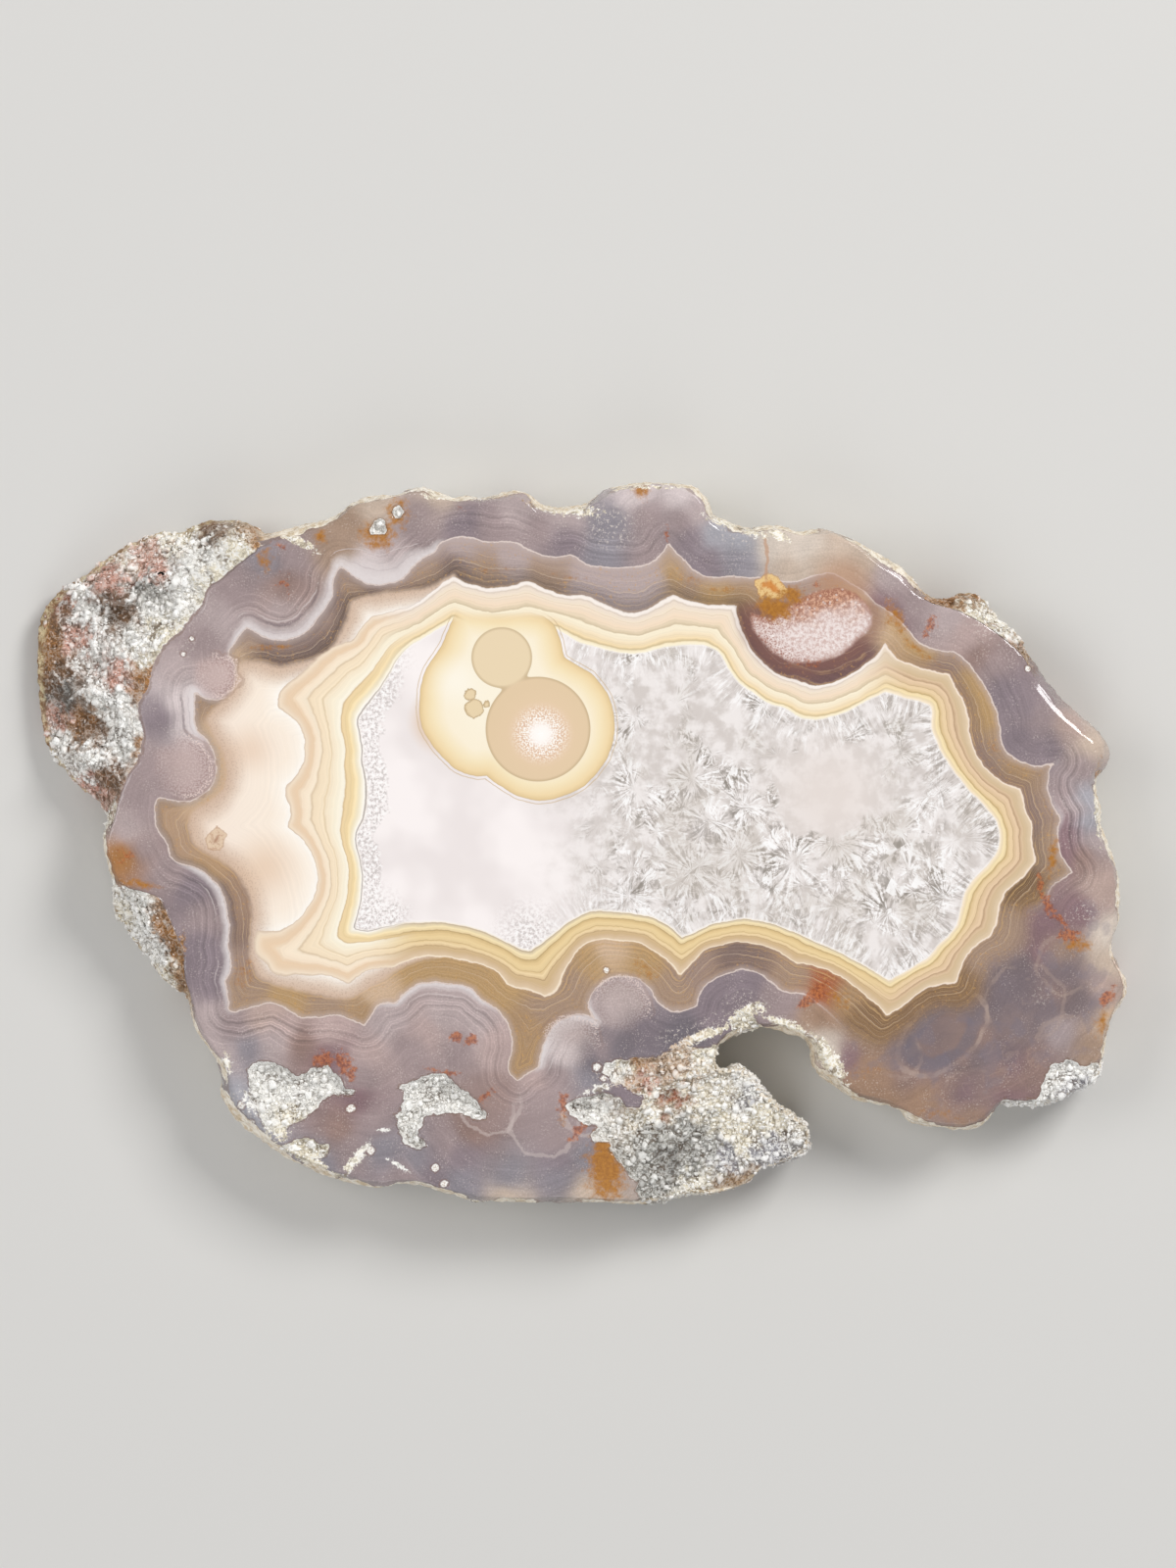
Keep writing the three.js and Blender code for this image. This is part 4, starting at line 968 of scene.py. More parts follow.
def inside(points, loop):
    """How far inside a closed loop each point lies, negative outside it, and how far along the
    loop its nearest place is."""
    run = np.roll(loop, -1, axis=0) - loop
    reach = np.linalg.norm(run, axis=1)
    walked = np.concatenate([[0], np.cumsum(reach)[:-1]])
    tiles = np.floor(points[:, :2] / TILE).astype(int)
    order = np.lexsort(tiles.T)
    changes = 1 + np.flatnonzero(np.any(np.diff(tiles[order], axis=0), axis=1))
    lowest, highest = (loop[:, 1] + pick(0, run[:, 1]) for pick in (np.minimum, np.maximum))
    depths, places = np.empty(len(points)), np.empty(len(points))
    for tile in np.split(order, changes):
        # Only the pieces of the loop that can be nearest to this tile, and those level with it.
        middle = points[tile, :2].mean(axis=0)
        spread = np.linalg.norm(points[tile, :2] - middle, axis=1).max()
        gaps = to_pieces(middle[None], loop, run, reach)[0][0]
        near = np.flatnonzero(gaps <= gaps.min() + 2 * spread + 1e-6)
        gap, share = to_pieces(points[tile], loop[near], run[near], reach[near])
        nearest = np.arange(len(tile)), gap.argmin(axis=1)
        level = (highest >= points[tile, 1].min()) & (lowest <= points[tile, 1].max())
        x = points[tile, :1] - loop[level, 0]
        y = points[tile, 1:2] - loop[level, 1]
        crosses = (y < 0) != (y < run[level, 1])
        with np.errstate(divide="ignore", invalid="ignore"):
            left_of = x < run[level, 0] * y / run[level, 1]
        odd = (crosses & left_of).sum(axis=1) % 2 == 1
        depths[tile] = np.where(odd, 1, -1) * gap[nearest]
        places[tile] = (walked[near] + share * reach[near])[nearest]
    return depths, places


def to_pieces(points, starts, run, reach):
    """The distance from each point to each straight piece, and the share of the piece that leads to
    its nearest place."""
    x = points[:, :1] - starts[:, 0]
    y = points[:, 1:2] - starts[:, 1]
    share = np.clip((x * run[:, 0] + y * run[:, 1]) / reach**2, 0, 1)
    return np.hypot(x - share * run[:, 0], y - share * run[:, 1]), share


def contour(scallops):
    """The closed line through a list of scallops, in the part's frame."""
    loop = []
    for scallop, following in zip(scallops, scallops[1:] + scallops[:1]):
        through = on_frame(scallop + following[:1])
        count = max(1, round(length_through(through) / CONTOUR_SPACING))
        loop.append(spaced(through, count)[:-1])
    return np.vstack(loop)


def grid_inside(loop, spacing):
    """Points of an even triangular grid that lie inside a loop, clear of it."""
    low, high = loop.min(axis=0), loop.max(axis=0)
    rows = np.arange(low[1], high[1], spacing * math.sqrt(3) / 2)
    columns = np.arange(low[0], high[0], spacing)
    x, y = np.meshgrid(columns, rows)
    x = x + spacing / 2 * (np.arange(len(rows)) % 2)[:, None]
    points = np.column_stack([x.ravel(), y.ravel()])
    return points[inside(points, loop)[0] > LOOP_GAP * spacing / FACE_SPACING]


def filled(loop, points):
    """Triangles that fill a loop of points and meet at the points inside it."""
    corners = [Vector(point) for point in np.vstack([loop, points])]
    outline = [list(range(len(loop)))]
    result = geometry.delaunay_2d_cdt(corners, [], outline, ONLY_INSIDE, SAME_PLACE)
    originals = [ids[0] for ids in result[3]]
    return [tuple(originals[corner] for corner in face) for face in result[2]]


def hollow_floor(points, relief):
    """The height of the hollows' floors at each point, THICKNESS where there is no hollow, and
    how far inside a hollow it lies."""
    fray = HOLLOW_FRAY * rough(points, HOLLOW_FRAY_CYCLES)
    knob = lumps(KNOB_FINENESS * points[:, 0], KNOB_FINENESS * points[:, 1], 0)
    grain = relief + HOLLOW_GRIT * rough(points, HOLLOW_GRIT_CYCLES, 4)
    floor = np.full(len(points), THICKNESS)
    deepest = np.full(len(points), -HOLLOW_FAR)
    for depth, outline in HOLLOWS:
        loop = on_frame(outline)
        low, high = loop.min(axis=0) - HOLLOW_REACH, loop.max(axis=0) + HOLLOW_REACH
        near = ((points[:, :2] > low) & (points[:, :2] < high)).all(axis=1)
        depth_in = inside(points[near], loop)[0] + fray[near]
        bowl = depth * np.tanh(HOLLOW_WALL_SLOPE * depth_in / depth)
        bumps = HOLLOW_KNOBS * depth * knob[near] + GRAIN_HEIGHT * grain[near]
        sunk = THICKNESS - bowl + bumps * np.clip(depth_in, 0, 1)
        floor[near] = np.minimum(floor[near], np.where(depth_in > 0, sunk, THICKNESS))
        deepest[near] = np.maximum(deepest[near], depth_in)
    return floor, deepest


def blended(points, places, softness=BAND_SOFTNESS):
    """The colour at each point, blended from the listed spots of a palette, mostly the nearest."""
    spots = on_frame([spot for name in places for spot in places[name]])
    colours = np.array([linear(PALETTE[name]) for name in places for _ in places[name]])
    total = np.zeros((len(points), 3))
    weights = np.zeros((len(points), 1))
    for spot, colour in zip(spots, colours):
        gap = ((points[:, :2] - spot) ** 2).sum(axis=1)[:, None] + softness
        total += colour / gap**TONE_SHARPNESS
        weights += 1 / gap**TONE_SHARPNESS
    return total / weights


def stained(points, stains):
    """How strongly the stains mark each point, from 0 to 1 and a little beyond."""
    amount = np.zeros(len(points))
    for x, y, reach, aside, turn, strength in stains:
        centre = on_frame([(x, y)])[0]
        gap = points[:, :2] - centre
        angle = math.radians(-turn)
        along = (gap[:, 0] * math.cos(angle) + gap[:, 1] * math.sin(angle)) / reach
        across = (gap[:, 1] * math.cos(angle) - gap[:, 0] * math.sin(angle)) / aside
        amount = np.maximum(amount, strength * np.exp(-(along**2 + across**2) / 2))
    return amount


def linear(colour):
    """A screen colour, 0 to 255, as linear light."""
    shares = np.array(colour) / 255
    return np.where(shares <= 0.04045, shares / 12.92, ((shares + 0.055) / 1.055) ** 2.4)


def stone_shape():
    """The slice's fine mesh: its points and its triangles. And for each point: how far down the rim
    it is, how far inside a hollow, the slope of the skin there, and the relief of its knobs."""
    columns = list(zip(*rim_columns()))
    parts = [column_points(*column) for column in columns]
    slopes = [np.full(len(points), column[3]) for (points, _), column in zip(parts, columns)]
    firsts = np.concatenate([[0], np.cumsum([len(points) for points, _ in parts])])
    numbers = [list(range(a, b)) for a, b in zip(firsts, firsts[1:])]
    triangles = []
    for one, other in zip(numbers, numbers[1:] + numbers[:1]):
        triangles += zipped(one, other)
    rim = np.vstack([points for points, _ in parts])
    down = np.concatenate([down for _, down in parts])
    slope = np.concatenate(slopes)
    out = np.repeat([column[2] for column in columns], np.diff(firsts), axis=0)
    top = np.array([part[0] for part in numbers])
    bottom = np.array([part[-1] for part in numbers])
    face = grid_inside(rim[top, :2], FACE_SPACING)
    quartz = inside(face, contour(QUARTZ_EDGE))[0]
    row = np.round((face[:, 1] - face[0, 1]) / (FACE_SPACING * math.sqrt(3) / 2)).astype(int)
    step = np.round((face[:, 0] - face[0, 0]) / FACE_SPACING * 2).astype(int)
    face = face[(quartz < FINE_QUARTZ) | ((row % 2 == 0) & ((step - row) % 4 == 0))]
    back = grid_inside(rim[bottom, :2], BACK_SPACING)
    for ring, points, upward in ((top, face, True), (bottom, back, False)):
        first = len(rim) if upward else len(rim) + len(face)
        lookup = np.concatenate([ring, np.arange(first, first + len(points))])
        for a, b, c in filled(rim[ring, :2], points):
            triangles.append(tuple(int(lookup[i]) for i in ((a, b, c) if upward else (c, b, a))))
    points = np.vstack([
        rim,
        np.column_stack([face, np.full(len(face), THICKNESS)]),
        np.column_stack([back, np.zeros(len(back))]),
    ])
    down = np.concatenate([down, np.zeros(len(face)), np.full(len(back), 2.0)])
    slope = np.concatenate([slope, np.zeros(len(face) + len(back))])
    relief = sum(share * knobs(points, scale) for scale, share in KNOB_KINDS)
    floor, hollow = hollow_floor(points, relief)
    points[: len(rim)] = roughened(rim, down[: len(rim)], slope[: len(rim)], out, relief[: len(rim)])
    points[:, 2] = np.minimum(points[:, 2], floor)
    return np.clip(points, BOX_LOW, BOX_HIGH), triangles, down, hollow, slope, relief


def roughened(points, down, slope, out, relief):
    """The rim with the knobs and wrinkles of its skin and the grit of its crust."""
    swell = np.sin(math.pi * np.clip(down, 0, 1)) ** SKIN_BLUNTNESS
    grit = rough(points, GRIT_CYCLES)
    wrinkle = rough(points, WRINKLE_CYCLES)
    relief = relief + SKIN_WRINKLES * wrinkle + SKIN_GRIT * grit
    skin = slope * swell * SKIN_GRAIN_HEIGHT * relief
    rim = np.clip(down * 3, 0, 1) * np.clip((2 - down) * 4, 0, 1) * RIM_GRAIN_HEIGHT * (grit - 0.5)
    points = points + np.column_stack([out * rim[:, None], skin])
    points[:, 2] = np.clip(points[:, 2], 0, THICKNESS)
    return points


def crust_places(points, triangles, crusty, gap, draw):
    """Places on the crust at least a gap apart, each with the surface's direction."""
    corners = points[triangles]
    normals = np.cross(corners[:, 1] - corners[:, 0], corners[:, 2] - corners[:, 0])
    sizes = np.linalg.norm(normals, axis=1) + 1e-9
    weights = np.cumsum(sizes * crusty[triangles].min(axis=1))
    tries = round(GRAIN_TRIES * weights[-1] / 2 / gap**2)
    chosen = np.searchsorted(weights, draw.random(tries) * weights[-1])
    shares = draw.dirichlet((1, 1, 1), tries)
    places = (shares[:, :, None] * corners[chosen]).sum(axis=1)
    homes = np.floor(places / gap).astype(int).tolist()
    taken = {}
    kept = []
    for number, ((x, y, z), (i, j, k)) in enumerate(zip(places.tolist(), homes)):
        others = [taken.get((i + a, j + b, k + c)) for a, b, c in NEIGHBOURS]
        near = [other for cell in others if cell for other in cell]
        if any((x - a) ** 2 + (y - b) ** 2 + (z - c) ** 2 < gap * gap for a, b, c in near):
            continue
        taken.setdefault((i, j, k), []).append((x, y, z))
        kept.append(number)
    return places[kept], (normals / sizes[:, None])[chosen[kept]]


def beads(places, ups, sizes, owns, rounds, draw):
    """Rounded or angular beads: their points, their triangles, how high on its bead each point
    is, and the bead's own number, above 0."""
    ball = bmesh.new()
    bmesh.ops.create_icosphere(ball, subdivisions=rounds, radius=1)
    shape = np.array([vertex.co for vertex in ball.verts])
    sides = np.array([[vertex.index for vertex in face.verts] for face in ball.faces])
    ball.free()
    parts, heights = [], []
    for place, up, size in zip(places, ups, sizes):
        turn = np.array(Quaternion(draw.normal(size=4)).normalized().to_matrix())
        lumpy = shape * (1 + GRAIN_LUMP * draw.normal(size=(len(shape), 1))) @ turn.T
        lumpy = lumpy * (1 + GRAIN_UNEVENNESS * draw.normal(size=3)).clip(*GRAIN_WIDTHS)
        height = lumpy @ up
        parts.append(place + size * (lumpy - np.outer(height, up) * GRAIN_FLAT + up * GRAIN_LIFT))
        heights.append(height)
    points = np.vstack(parts)
    points[:, 2] = np.minimum(points[:, 2], THICKNESS - GRAIN_CLEAR)
    low, high = BOX_LOW[:2] + GRAIN_CLEAR, BOX_HIGH[:2] - GRAIN_CLEAR
    points[:, :2] = np.clip(points[:, :2], low, high)
    faces = (sides[None] + len(shape) * np.arange(len(parts))[:, None, None]).reshape(-1, 3)
    return points, faces, np.concatenate(heights), np.repeat(owns, len(shape))


def curl_beads(points):
    """Beads in rows that lie on the skin as curled ridges: places, directions and sizes."""
    skin = points[points[:, 2] > GRAIN_LOWEST[0]]
    places, sizes = [], []
    for radius, line_points in CURLS:
        through = on_frame(line_points)
        for x, y in spaced(through, max(2, round(length_through(through) / radius / CURL_STEP))):
            near = skin[np.hypot(skin[:, 0] - x, skin[:, 1] - y).argmin()]
            places.append((x, y, near[2]))
            sizes.append(radius)
    return np.array(places), np.tile([0.0, 0, 1], (len(places), 1)), np.array(sizes)


class Value:
    """A number, colour or vector that shader nodes work out. Sums and products add the nodes."""

    def __init__(self, socket):
        self.socket = socket

    def __add__(self, other):
        return calculate("ADD", self, other)

    def __sub__(self, other):
        return calculate("SUBTRACT", self, other)

    def __rsub__(self, other):
        return calculate("SUBTRACT", other, self)

    def __mul__(self, other):
        return calculate("MULTIPLY", self, other)

    def __truediv__(self, other):
        return calculate("DIVIDE", self, other)

    __radd__ = __add__


def new_material(name):
    """A material with nodes. The functions below add theirs to the newest one."""
    global TREE
    material = bpy.data.materials.new(name)
    material.use_nodes = True
    TREE = material.node_tree
    return material


def add_node(kind, *values, **settings):
    """A node of the newest material, with its inputs linked or set in their order."""
    node = TREE.nodes.new(kind)
    for name, value in settings.items():
        setattr(node, name, value)
    for socket, value in zip([socket for socket in node.inputs if socket.enabled], values):
        put(value, socket)
    return node


def put(value, socket):
    """Links or sets an input, or leaves it as it is where the value is None."""
    if isinstance(value, Value):
        TREE.links.new(value.socket, socket)
    elif value is not None:
        socket.default_value = value


def calculate(operation, *values):
    return Value(add_node("ShaderNodeMath", *values, operation=operation).outputs[0])


def smooth(value, low, high):
    """0 below low, 1 above high, and a smooth rise between them."""
    settings = {"interpolation_type": "SMOOTHSTEP", "clamp": False}
    return Value(add_node("ShaderNodeMapRange", value, low, high, 0, 1, **settings).outputs[0])


def inside_edge(depth, blur=0.07):
    """1 where a depth is positive, with an edge as wide as its blur, in mm."""
    return smooth(depth, -blur / 2, blur / 2)


def line(value, place, width):
    """1 on a line where the value is near a place, fading out over its width."""
    return smooth(calculate("ABSOLUTE", value - place), width, width * 0.4)


def shade(colour):
    """A palette name, or a screen colour, as a shader colour."""
    if isinstance(colour, Value):
        return colour
    return (*linear(PALETTE[colour] if isinstance(colour, str) else colour), 1)


def mixed(share, a, b, **settings):
    """Colour a where the share is 0, and colour b where it is 1."""
    node = add_node("ShaderNodeMix", share, shade(a), shade(b), data_type="RGBA", **settings)
    return Value(node.outputs[MIXED_COLOUR])


def brightened(colour, factor):
    """A colour times a number, as a mix with black whose share may be negative."""
    return mixed(1 - factor, colour, (0, 0, 0), clamp_factor=False)


def graded(value, stops, as_shade=shade):
    """A colour from a scale of stops: places from 0 to 1, and the colours there."""
    node = add_node("ShaderNodeValToRGB", value)
    elements = node.color_ramp.elements
    while len(elements) < len(stops):
        elements.new(1)
    for element, (place, _) in zip(elements, stops):
        element.position = place
    for element, (_, colour) in zip(elements, stops):
        element.color = as_shade(colour)
    return Value(node.outputs[0])


def levels(value, stops):
    """A number from a scale of stops: places from 0 to 1, and numbers from 0 to 1."""
    return red_of(graded(value, stops, lambda level: (level, level, level, 1)))


def texture(kind, scale, **settings):
    """A texture node with its scale and the rest of its settings."""
    node = add_node(kind, **settings)
    node.inputs["Scale"].default_value = scale
    return node


def noisy(vector, scale, detail=2, roughness=0.5):
    """Noise of 0 to 1, in space or on the sheet. The scale is in cycles per mm."""
    dimensions = "3D" if vector is place_mm else "2D"
    node = texture("ShaderNodeTexNoise", scale, noise_dimensions=dimensions)
    put(vector, node.inputs["Vector"])
    put(detail, node.inputs["Detail"])
    put(roughness, node.inputs["Roughness"])
    return Value(node.outputs[0])


def streaks(depth, fineness, drift=2, detail=2):
    """Noise drawn out along the bands: fine across them, and slowly drifting along them."""
    node = texture("ShaderNodeTexNoise", 1, noise_dimensions="1D")
    put(depth * fineness + WIDE * drift, node.inputs["W"])
    put(detail, node.inputs["Detail"])
    put(0.6, node.inputs["Roughness"])
    return Value(node.outputs[0])


def cells(vector, scale, output="Distance"):
    """Cells round scattered centres: the distance to the nearest one, its place or its colour."""
    dimensions = "3D" if vector is place_mm else "2D"
    node = texture("ShaderNodeTexVoronoi", scale, voronoi_dimensions=dimensions)
    put(vector, node.inputs["Vector"])
    return Value(node.outputs[output])


def attribute(name, output="Fac"):
    """What the mesh keeps under a name."""
    return Value(add_node("ShaderNodeAttribute", attribute_name=name).outputs[output])


def red_of(colour):
    return Value(add_node("ShaderNodeSeparateColor", colour).outputs[0])


def vector_of(x, y):
    return Value(add_node("ShaderNodeCombineXYZ", x, y, 0).outputs[0])


def mapped(scale, shift=(0, 0, 0)):
    """The place on the object, scaled from metres and shifted."""
    place = Value(add_node("ShaderNodeTexCoord").outputs["Object"])
    return Value(add_node("ShaderNodeMapping", place, shift, None, scale).outputs[0])


def round_depth(x, y, radius):
    """How far inside a circle the place is, in mm."""
    node = add_node("ShaderNodeVectorMath", SHEET_PLACE, (x, y, 0), operation="DISTANCE")
    return radius - Value(node.outputs["Value"])


def within(x, y, reach, softness):
    """1 in a round area, fading out towards its reach."""
    return smooth(round_depth(x, y, reach), 0, reach * softness)


def stray(amount):
    """A slowly changing number that takes edges off their course, about half the amount each way."""
    return (HALF - 0.5) * amount


def finished(colour, roughness, relief):
    """Completes the newest material. The relief of its surface is in mm."""
    shader = TREE.nodes["Principled BSDF"]
    bump = add_node("ShaderNodeBump")
    bump.inputs["Strength"].default_value = 1
    bump.inputs["Distance"].default_value = MM
    put(relief, bump.inputs["Height"])
    put(colour, shader.inputs["Base Color"])
    put(roughness, shader.inputs["Roughness"])
    shader.inputs["IOR"].default_value = AGATE_IOR
    put(Value(bump.outputs[0]), shader.inputs["Normal"])


agate = new_material("agate")

# Where the material is: in space, and on the sheet, in mm. The render engine works nodes out in
# the order in which they are made, but puts off those whose input has to change its type, and
# then runs out of room. So places come from attributes and mapping nodes, which need no change.
place_mm = mapped((1 / MM, 1 / MM, 1 / MM))
FLAT = mapped((1 / MM, -1 / MM, 0), (*SHEET_CENTRE, 0))
SHEET_PLACE = attribute("sheet", "Vector")
X = attribute("sheet_x")
Y = attribute("sheet_y")

# Noise that the colours share, from the finest to the widest.
APART = mapped((1 / MM, -1 / MM, 0), (SHEET_CENTRE[0] + 50, SHEET_CENTRE[1] + 20, 0))
TINY = noisy(FLAT, 5, 1, 0.7)
SMALL = noisy(FLAT, 2.8, 3, 0.72)
MIDDLE = noisy(FLAT, 1.3, 4, 0.7)
HALF = noisy(FLAT, 0.5, 3, 0.58)
THIRD = noisy(FLAT, 0.3, 3, 0.55)
THIRD_APART = noisy(APART, 0.27, 3, 0.55)
WIDE = noisy(FLAT, 0.14, 2)
WIDE_APART = noisy(APART, 0.18, 3)
GRAIN = noisy(place_mm, 1.2, 4, 0.72)
PATCHES = noisy(place_mm, 0.4, 2, 0.6)

wobble = stray(0.55)  # how far the bands' edges stray from their contours, in mm
grey_depth = attribute("grey_depth") + wobble
white_depth = attribute("white_depth") + wobble
quartz_depth = attribute("quartz_depth") + wobble * 0.6
peach_zone_depth = attribute("peach_depth") + wobble
peach_depth = calculate("MAXIMUM", peach_zone_depth, white_depth)
SOFT_LOBE = smooth(X, 82, 87) * smooth(Y, 89, 94)  # where the bands blur into the grey agate


def grey_agate():
    """The outer agate: mauve and lilac in clouds, with nested pale lines in places."""
    tone = attribute("outer_tone", "Color")
    out = grey_depth * -1
    fine = streaks(grey_depth, 2.2, 3, 3)
    tone = brightened(tone, 0.46 + fine * 0.34 + THIRD * 0.44 + TINY * 0.3)
    drift = (WIDE - 0.5) * 0.9
    rings = levels((out + drift) / RINGS_REACH, [
        (0, 0.5), (0.1, 0.5), (0.115, 0.8), (0.13, 0.5), (0.185, 0.5), (0.2, 0.85), (0.215, 0.45),
        (0.26, 0.15), (0.28, 0.5), (0.325, 0.5), (0.34, 1), (0.355, 0.55), (0.385, 0.55), (0.4, 0.95),
        (0.415, 0.4), (0.45, 0.2), (0.47, 0.5), (0.5, 0.5), (0.52, 0.85), (0.54, 0.5), (0.66, 0.45),
        (0.68, 0.75), (0.7, 0.5), (1, 0.5),
    ])
    tone = brightened(tone, 1 + (rings - 0.5) * attribute("nested"))
    collar = attribute("collar")
    pale = smooth(out / (collar + 0.05), 1.2, 0.1) * smooth(collar, 0.15, 0.6)
    tone = mixed(pale * (0.6 + SMALL * 0.5), tone, (226, 217, 215))
    clear = smooth(collar, 0.3, 0.8) * smooth(THIRD_APART, 0.34, 0.5)
    shadow = line(out, collar + 0.14, 0.16) * clear * smooth(X, 35, 32)
    tone = mixed(shadow * 0.5, tone, (122, 108, 112))
    tone = mixed(line(out, collar + 0.42, 0.08) * clear * 0.6, tone, (210, 198, 195))
    tone = mixed(line(out, collar * 0.55, 0.06) * clear * 0.35, tone, (176, 160, 162))
    dust = smooth(TINY, 0.6, 0.74) * smooth(HALF, 0.45, 0.62)
    tone = mixed(dust * 0.4, tone, (214, 200, 192))
    return ghosts(tone)


def ghosts(tone):
    """The pale outlines and the blurred ellipse inside the lower right lobe."""
    x, y, half_length, half_width, turn = ELLIPSE
    cosine, sine = math.cos(math.radians(turn)), math.sin(math.radians(turn))
    across, down_sheet = X - x, Y - y
    along = (across * cosine - down_sheet * sine) / half_length
    aside = (across * sine + down_sheet * cosine) / half_width
    away = calculate("SQRT", along * along + aside * aside) + stray(0.25)
    tone = mixed(smooth(away, 1.05, 0.6) * 0.5, tone, (134, 112, 106))
    tone = mixed(line(away, 0.86, 0.3) * 0.55, tone, (108, 103, 114))
    part = smooth(THIRD_APART, 0.42, 0.56)
    tone = mixed(line(away, 1.2, 0.1) * (0.3 + part * 0.7) * 0.5, tone, (186, 164, 152))
    wisp = line(WIDE_APART, 0.5, 0.012) * SOFT_LOBE * smooth(WIDE, 0.44, 0.6)
    tone = mixed(wisp * 0.12, tone, (196, 170, 152))
    for x, y, radius in GHOST_ARCS:
        ring = round_depth(x, y, radius) + stray(1.2)
        tone = mixed(smooth(ring, 0, 1.4) * SOFT_LOBE * 0.2, tone, (126, 114, 122))
        tone = mixed(line(ring, 0, 0.3) * part * SOFT_LOBE * 0.3, tone, (180, 158, 146))
    for x, y, radius in LOW_ARCS:
        ring = round_depth(x, y, radius) + stray(1.4)
        tone = mixed(smooth(ring, -0.1, 1) * 0.3, tone, (172, 152, 150))
        tone = mixed(line(ring, 0.15, 0.28) * smooth(Y, 111, 114) * 0.4, tone, (210, 194, 188))
    haze = smooth(WIDE_APART, 0.54, 0.7) * SOFT_LOBE
    tone = mixed(haze * 0.18, tone, (166, 140, 126))
    blue = smooth(THIRD, 0.52, 0.66) * SOFT_LOBE
    return mixed(blue * 0.35, tone, (120, 113, 124))


def brown_bands():
    """The brown and gold bands between the grey agate and the white line."""
    share = grey_depth / (grey_depth - calculate("MINIMUM", peach_depth, -0.02))
    top = smooth(Y, 74, 64) * smooth(X, 92, 84)
    tone = attribute("brown_tone", "Color")
    fine = streaks(share * 4.5 + grey_depth, 2, 3, 3)
    tone = brightened(tone, 0.62 + fine * 0.46 + TINY * 0.3)
    tone = brightened(tone, 1 - smooth(share, 0.35, 1) * top * 0.4)
    right = smooth(X, 92, 97) * smooth(Y, 97, 90)
    tone = brightened(tone, 1.02 - smooth(share, 0.2, 1) * right * 0.3)
    rosy = smooth(X, 90, 95) * smooth(Y, 88, 82) * smooth(share, 0.4, 1)
    tone = mixed(rosy * 0.55, tone, (146, 120, 113))
    tone = mixed(smooth(share, 0.6, 0) * top * 0.5, tone, (182, 163, 158))
    left = smooth(X, 46, 38) * smooth(Y, 98, 92)
    tone = brightened(tone, 1 - smooth(grey_depth, 1.3, 0.1) * left * 0.25)
    tone = mixed(line(grey_depth, 1.6, 1.1) * left * smooth(Y, 70, 78) * 0.4, tone, (192, 156, 122))
    flecks = smooth(SMALL, 0.58, 0.7) * smooth(THIRD, 0.42, 0.56)
    tone = mixed(flecks * 0.6, tone, (200, 152, 88))
    hairs = line(streaks(share * 5 + 11, 1.5, 2, 1), 0.5, 0.014) * smooth(THIRD_APART, 0.4, 0.56)
    tone = mixed(hairs * (0.5 - top * 0.28), tone, (208, 168, 112))
    pale = line(streaks(share * 6 + 31, 1.3, 2, 1), 0.5, 0.012)
    tone = mixed(pale * 0.45, tone, (214, 192, 172))
    firm = 1 - SOFT_LOBE
    edge = smooth(grey_depth, 0.8, 0.08)
    tone = mixed(edge * firm * 0.45, tone, (196, 178, 172))
    jagged = line(grey_depth + (SMALL - 0.5) * 0.22, 0.07, 0.11)
    tone = mixed(jagged * firm * 0.8, tone, (226, 210, 202))
    white_side = smooth(white_depth, -0.3, 0)
    return mixed(white_side * 0.3, tone, (206, 172, 134))


def peach_zone():
    """The soft peach lobes at the left."""
    away = white_depth * -1
    tone = graded(away / 13, [
        (0, (255, 249, 240)), (0.05, (253, 242, 228)), (0.14, (250, 235, 218)),
        (0.45, (248, 232, 216)), (1, (242, 220, 200)),
    ])
    border = smooth(peach_depth, 2.6, 0)
    tone = mixed(border * 0.85, tone, (206, 176, 152))
    tone = mixed(within(25.5, 76.5, 3.6, 1) * 0.5, tone, (226, 192, 162))
    tone = mixed(within(27, 88.5, 4.6, 1) * 0.6, tone, (226, 192, 160))
    fine = streaks(peach_depth, 3)
    tone = brightened(tone, 0.95 + fine * 0.1)
    dots = smooth(TINY, 0.55, 0.68)
    return mixed(dots * border * 0.35, tone, (166, 134, 116))


def round_lobes(tone):
    """Round granular lobes with dotted rims, and the dark streaks beside them."""
    dots = smooth(TINY, 0.5, 0.6)
    for x, y, radius, colour, strength, (across, down_sheet) in ROUND_LOBES:
        depth = round_depth(x, y, radius) + stray(1.5)
        inner_side = smooth((X - x) * across + (Y - y) * down_sheet, -0.5 * radius, 0.4 * radius)
        fill = mixed(dots * 0.35, colour, (228, 212, 206))
        fill = mixed(smooth(TINY, 0.47, 0.4) * smooth(depth, 1.6, 0.4) * 0.6, fill, (146, 108, 98))
        inner = mixed(smooth(depth, 0, radius) * 0.35, fill, (206, 186, 180))
        tone = mixed(smooth(depth, -0.3, 0.9) * (0.45 + inner_side * 0.55) * strength, tone, inner)
        tone = mixed(line(depth, 0.1, 0.35) * dots * inner_side * strength, tone, (230, 208, 198))
        tone = mixed(line(depth, -0.3, 0.2) * inner_side * strength * 0.4, tone, (150, 118, 102))
    return tone


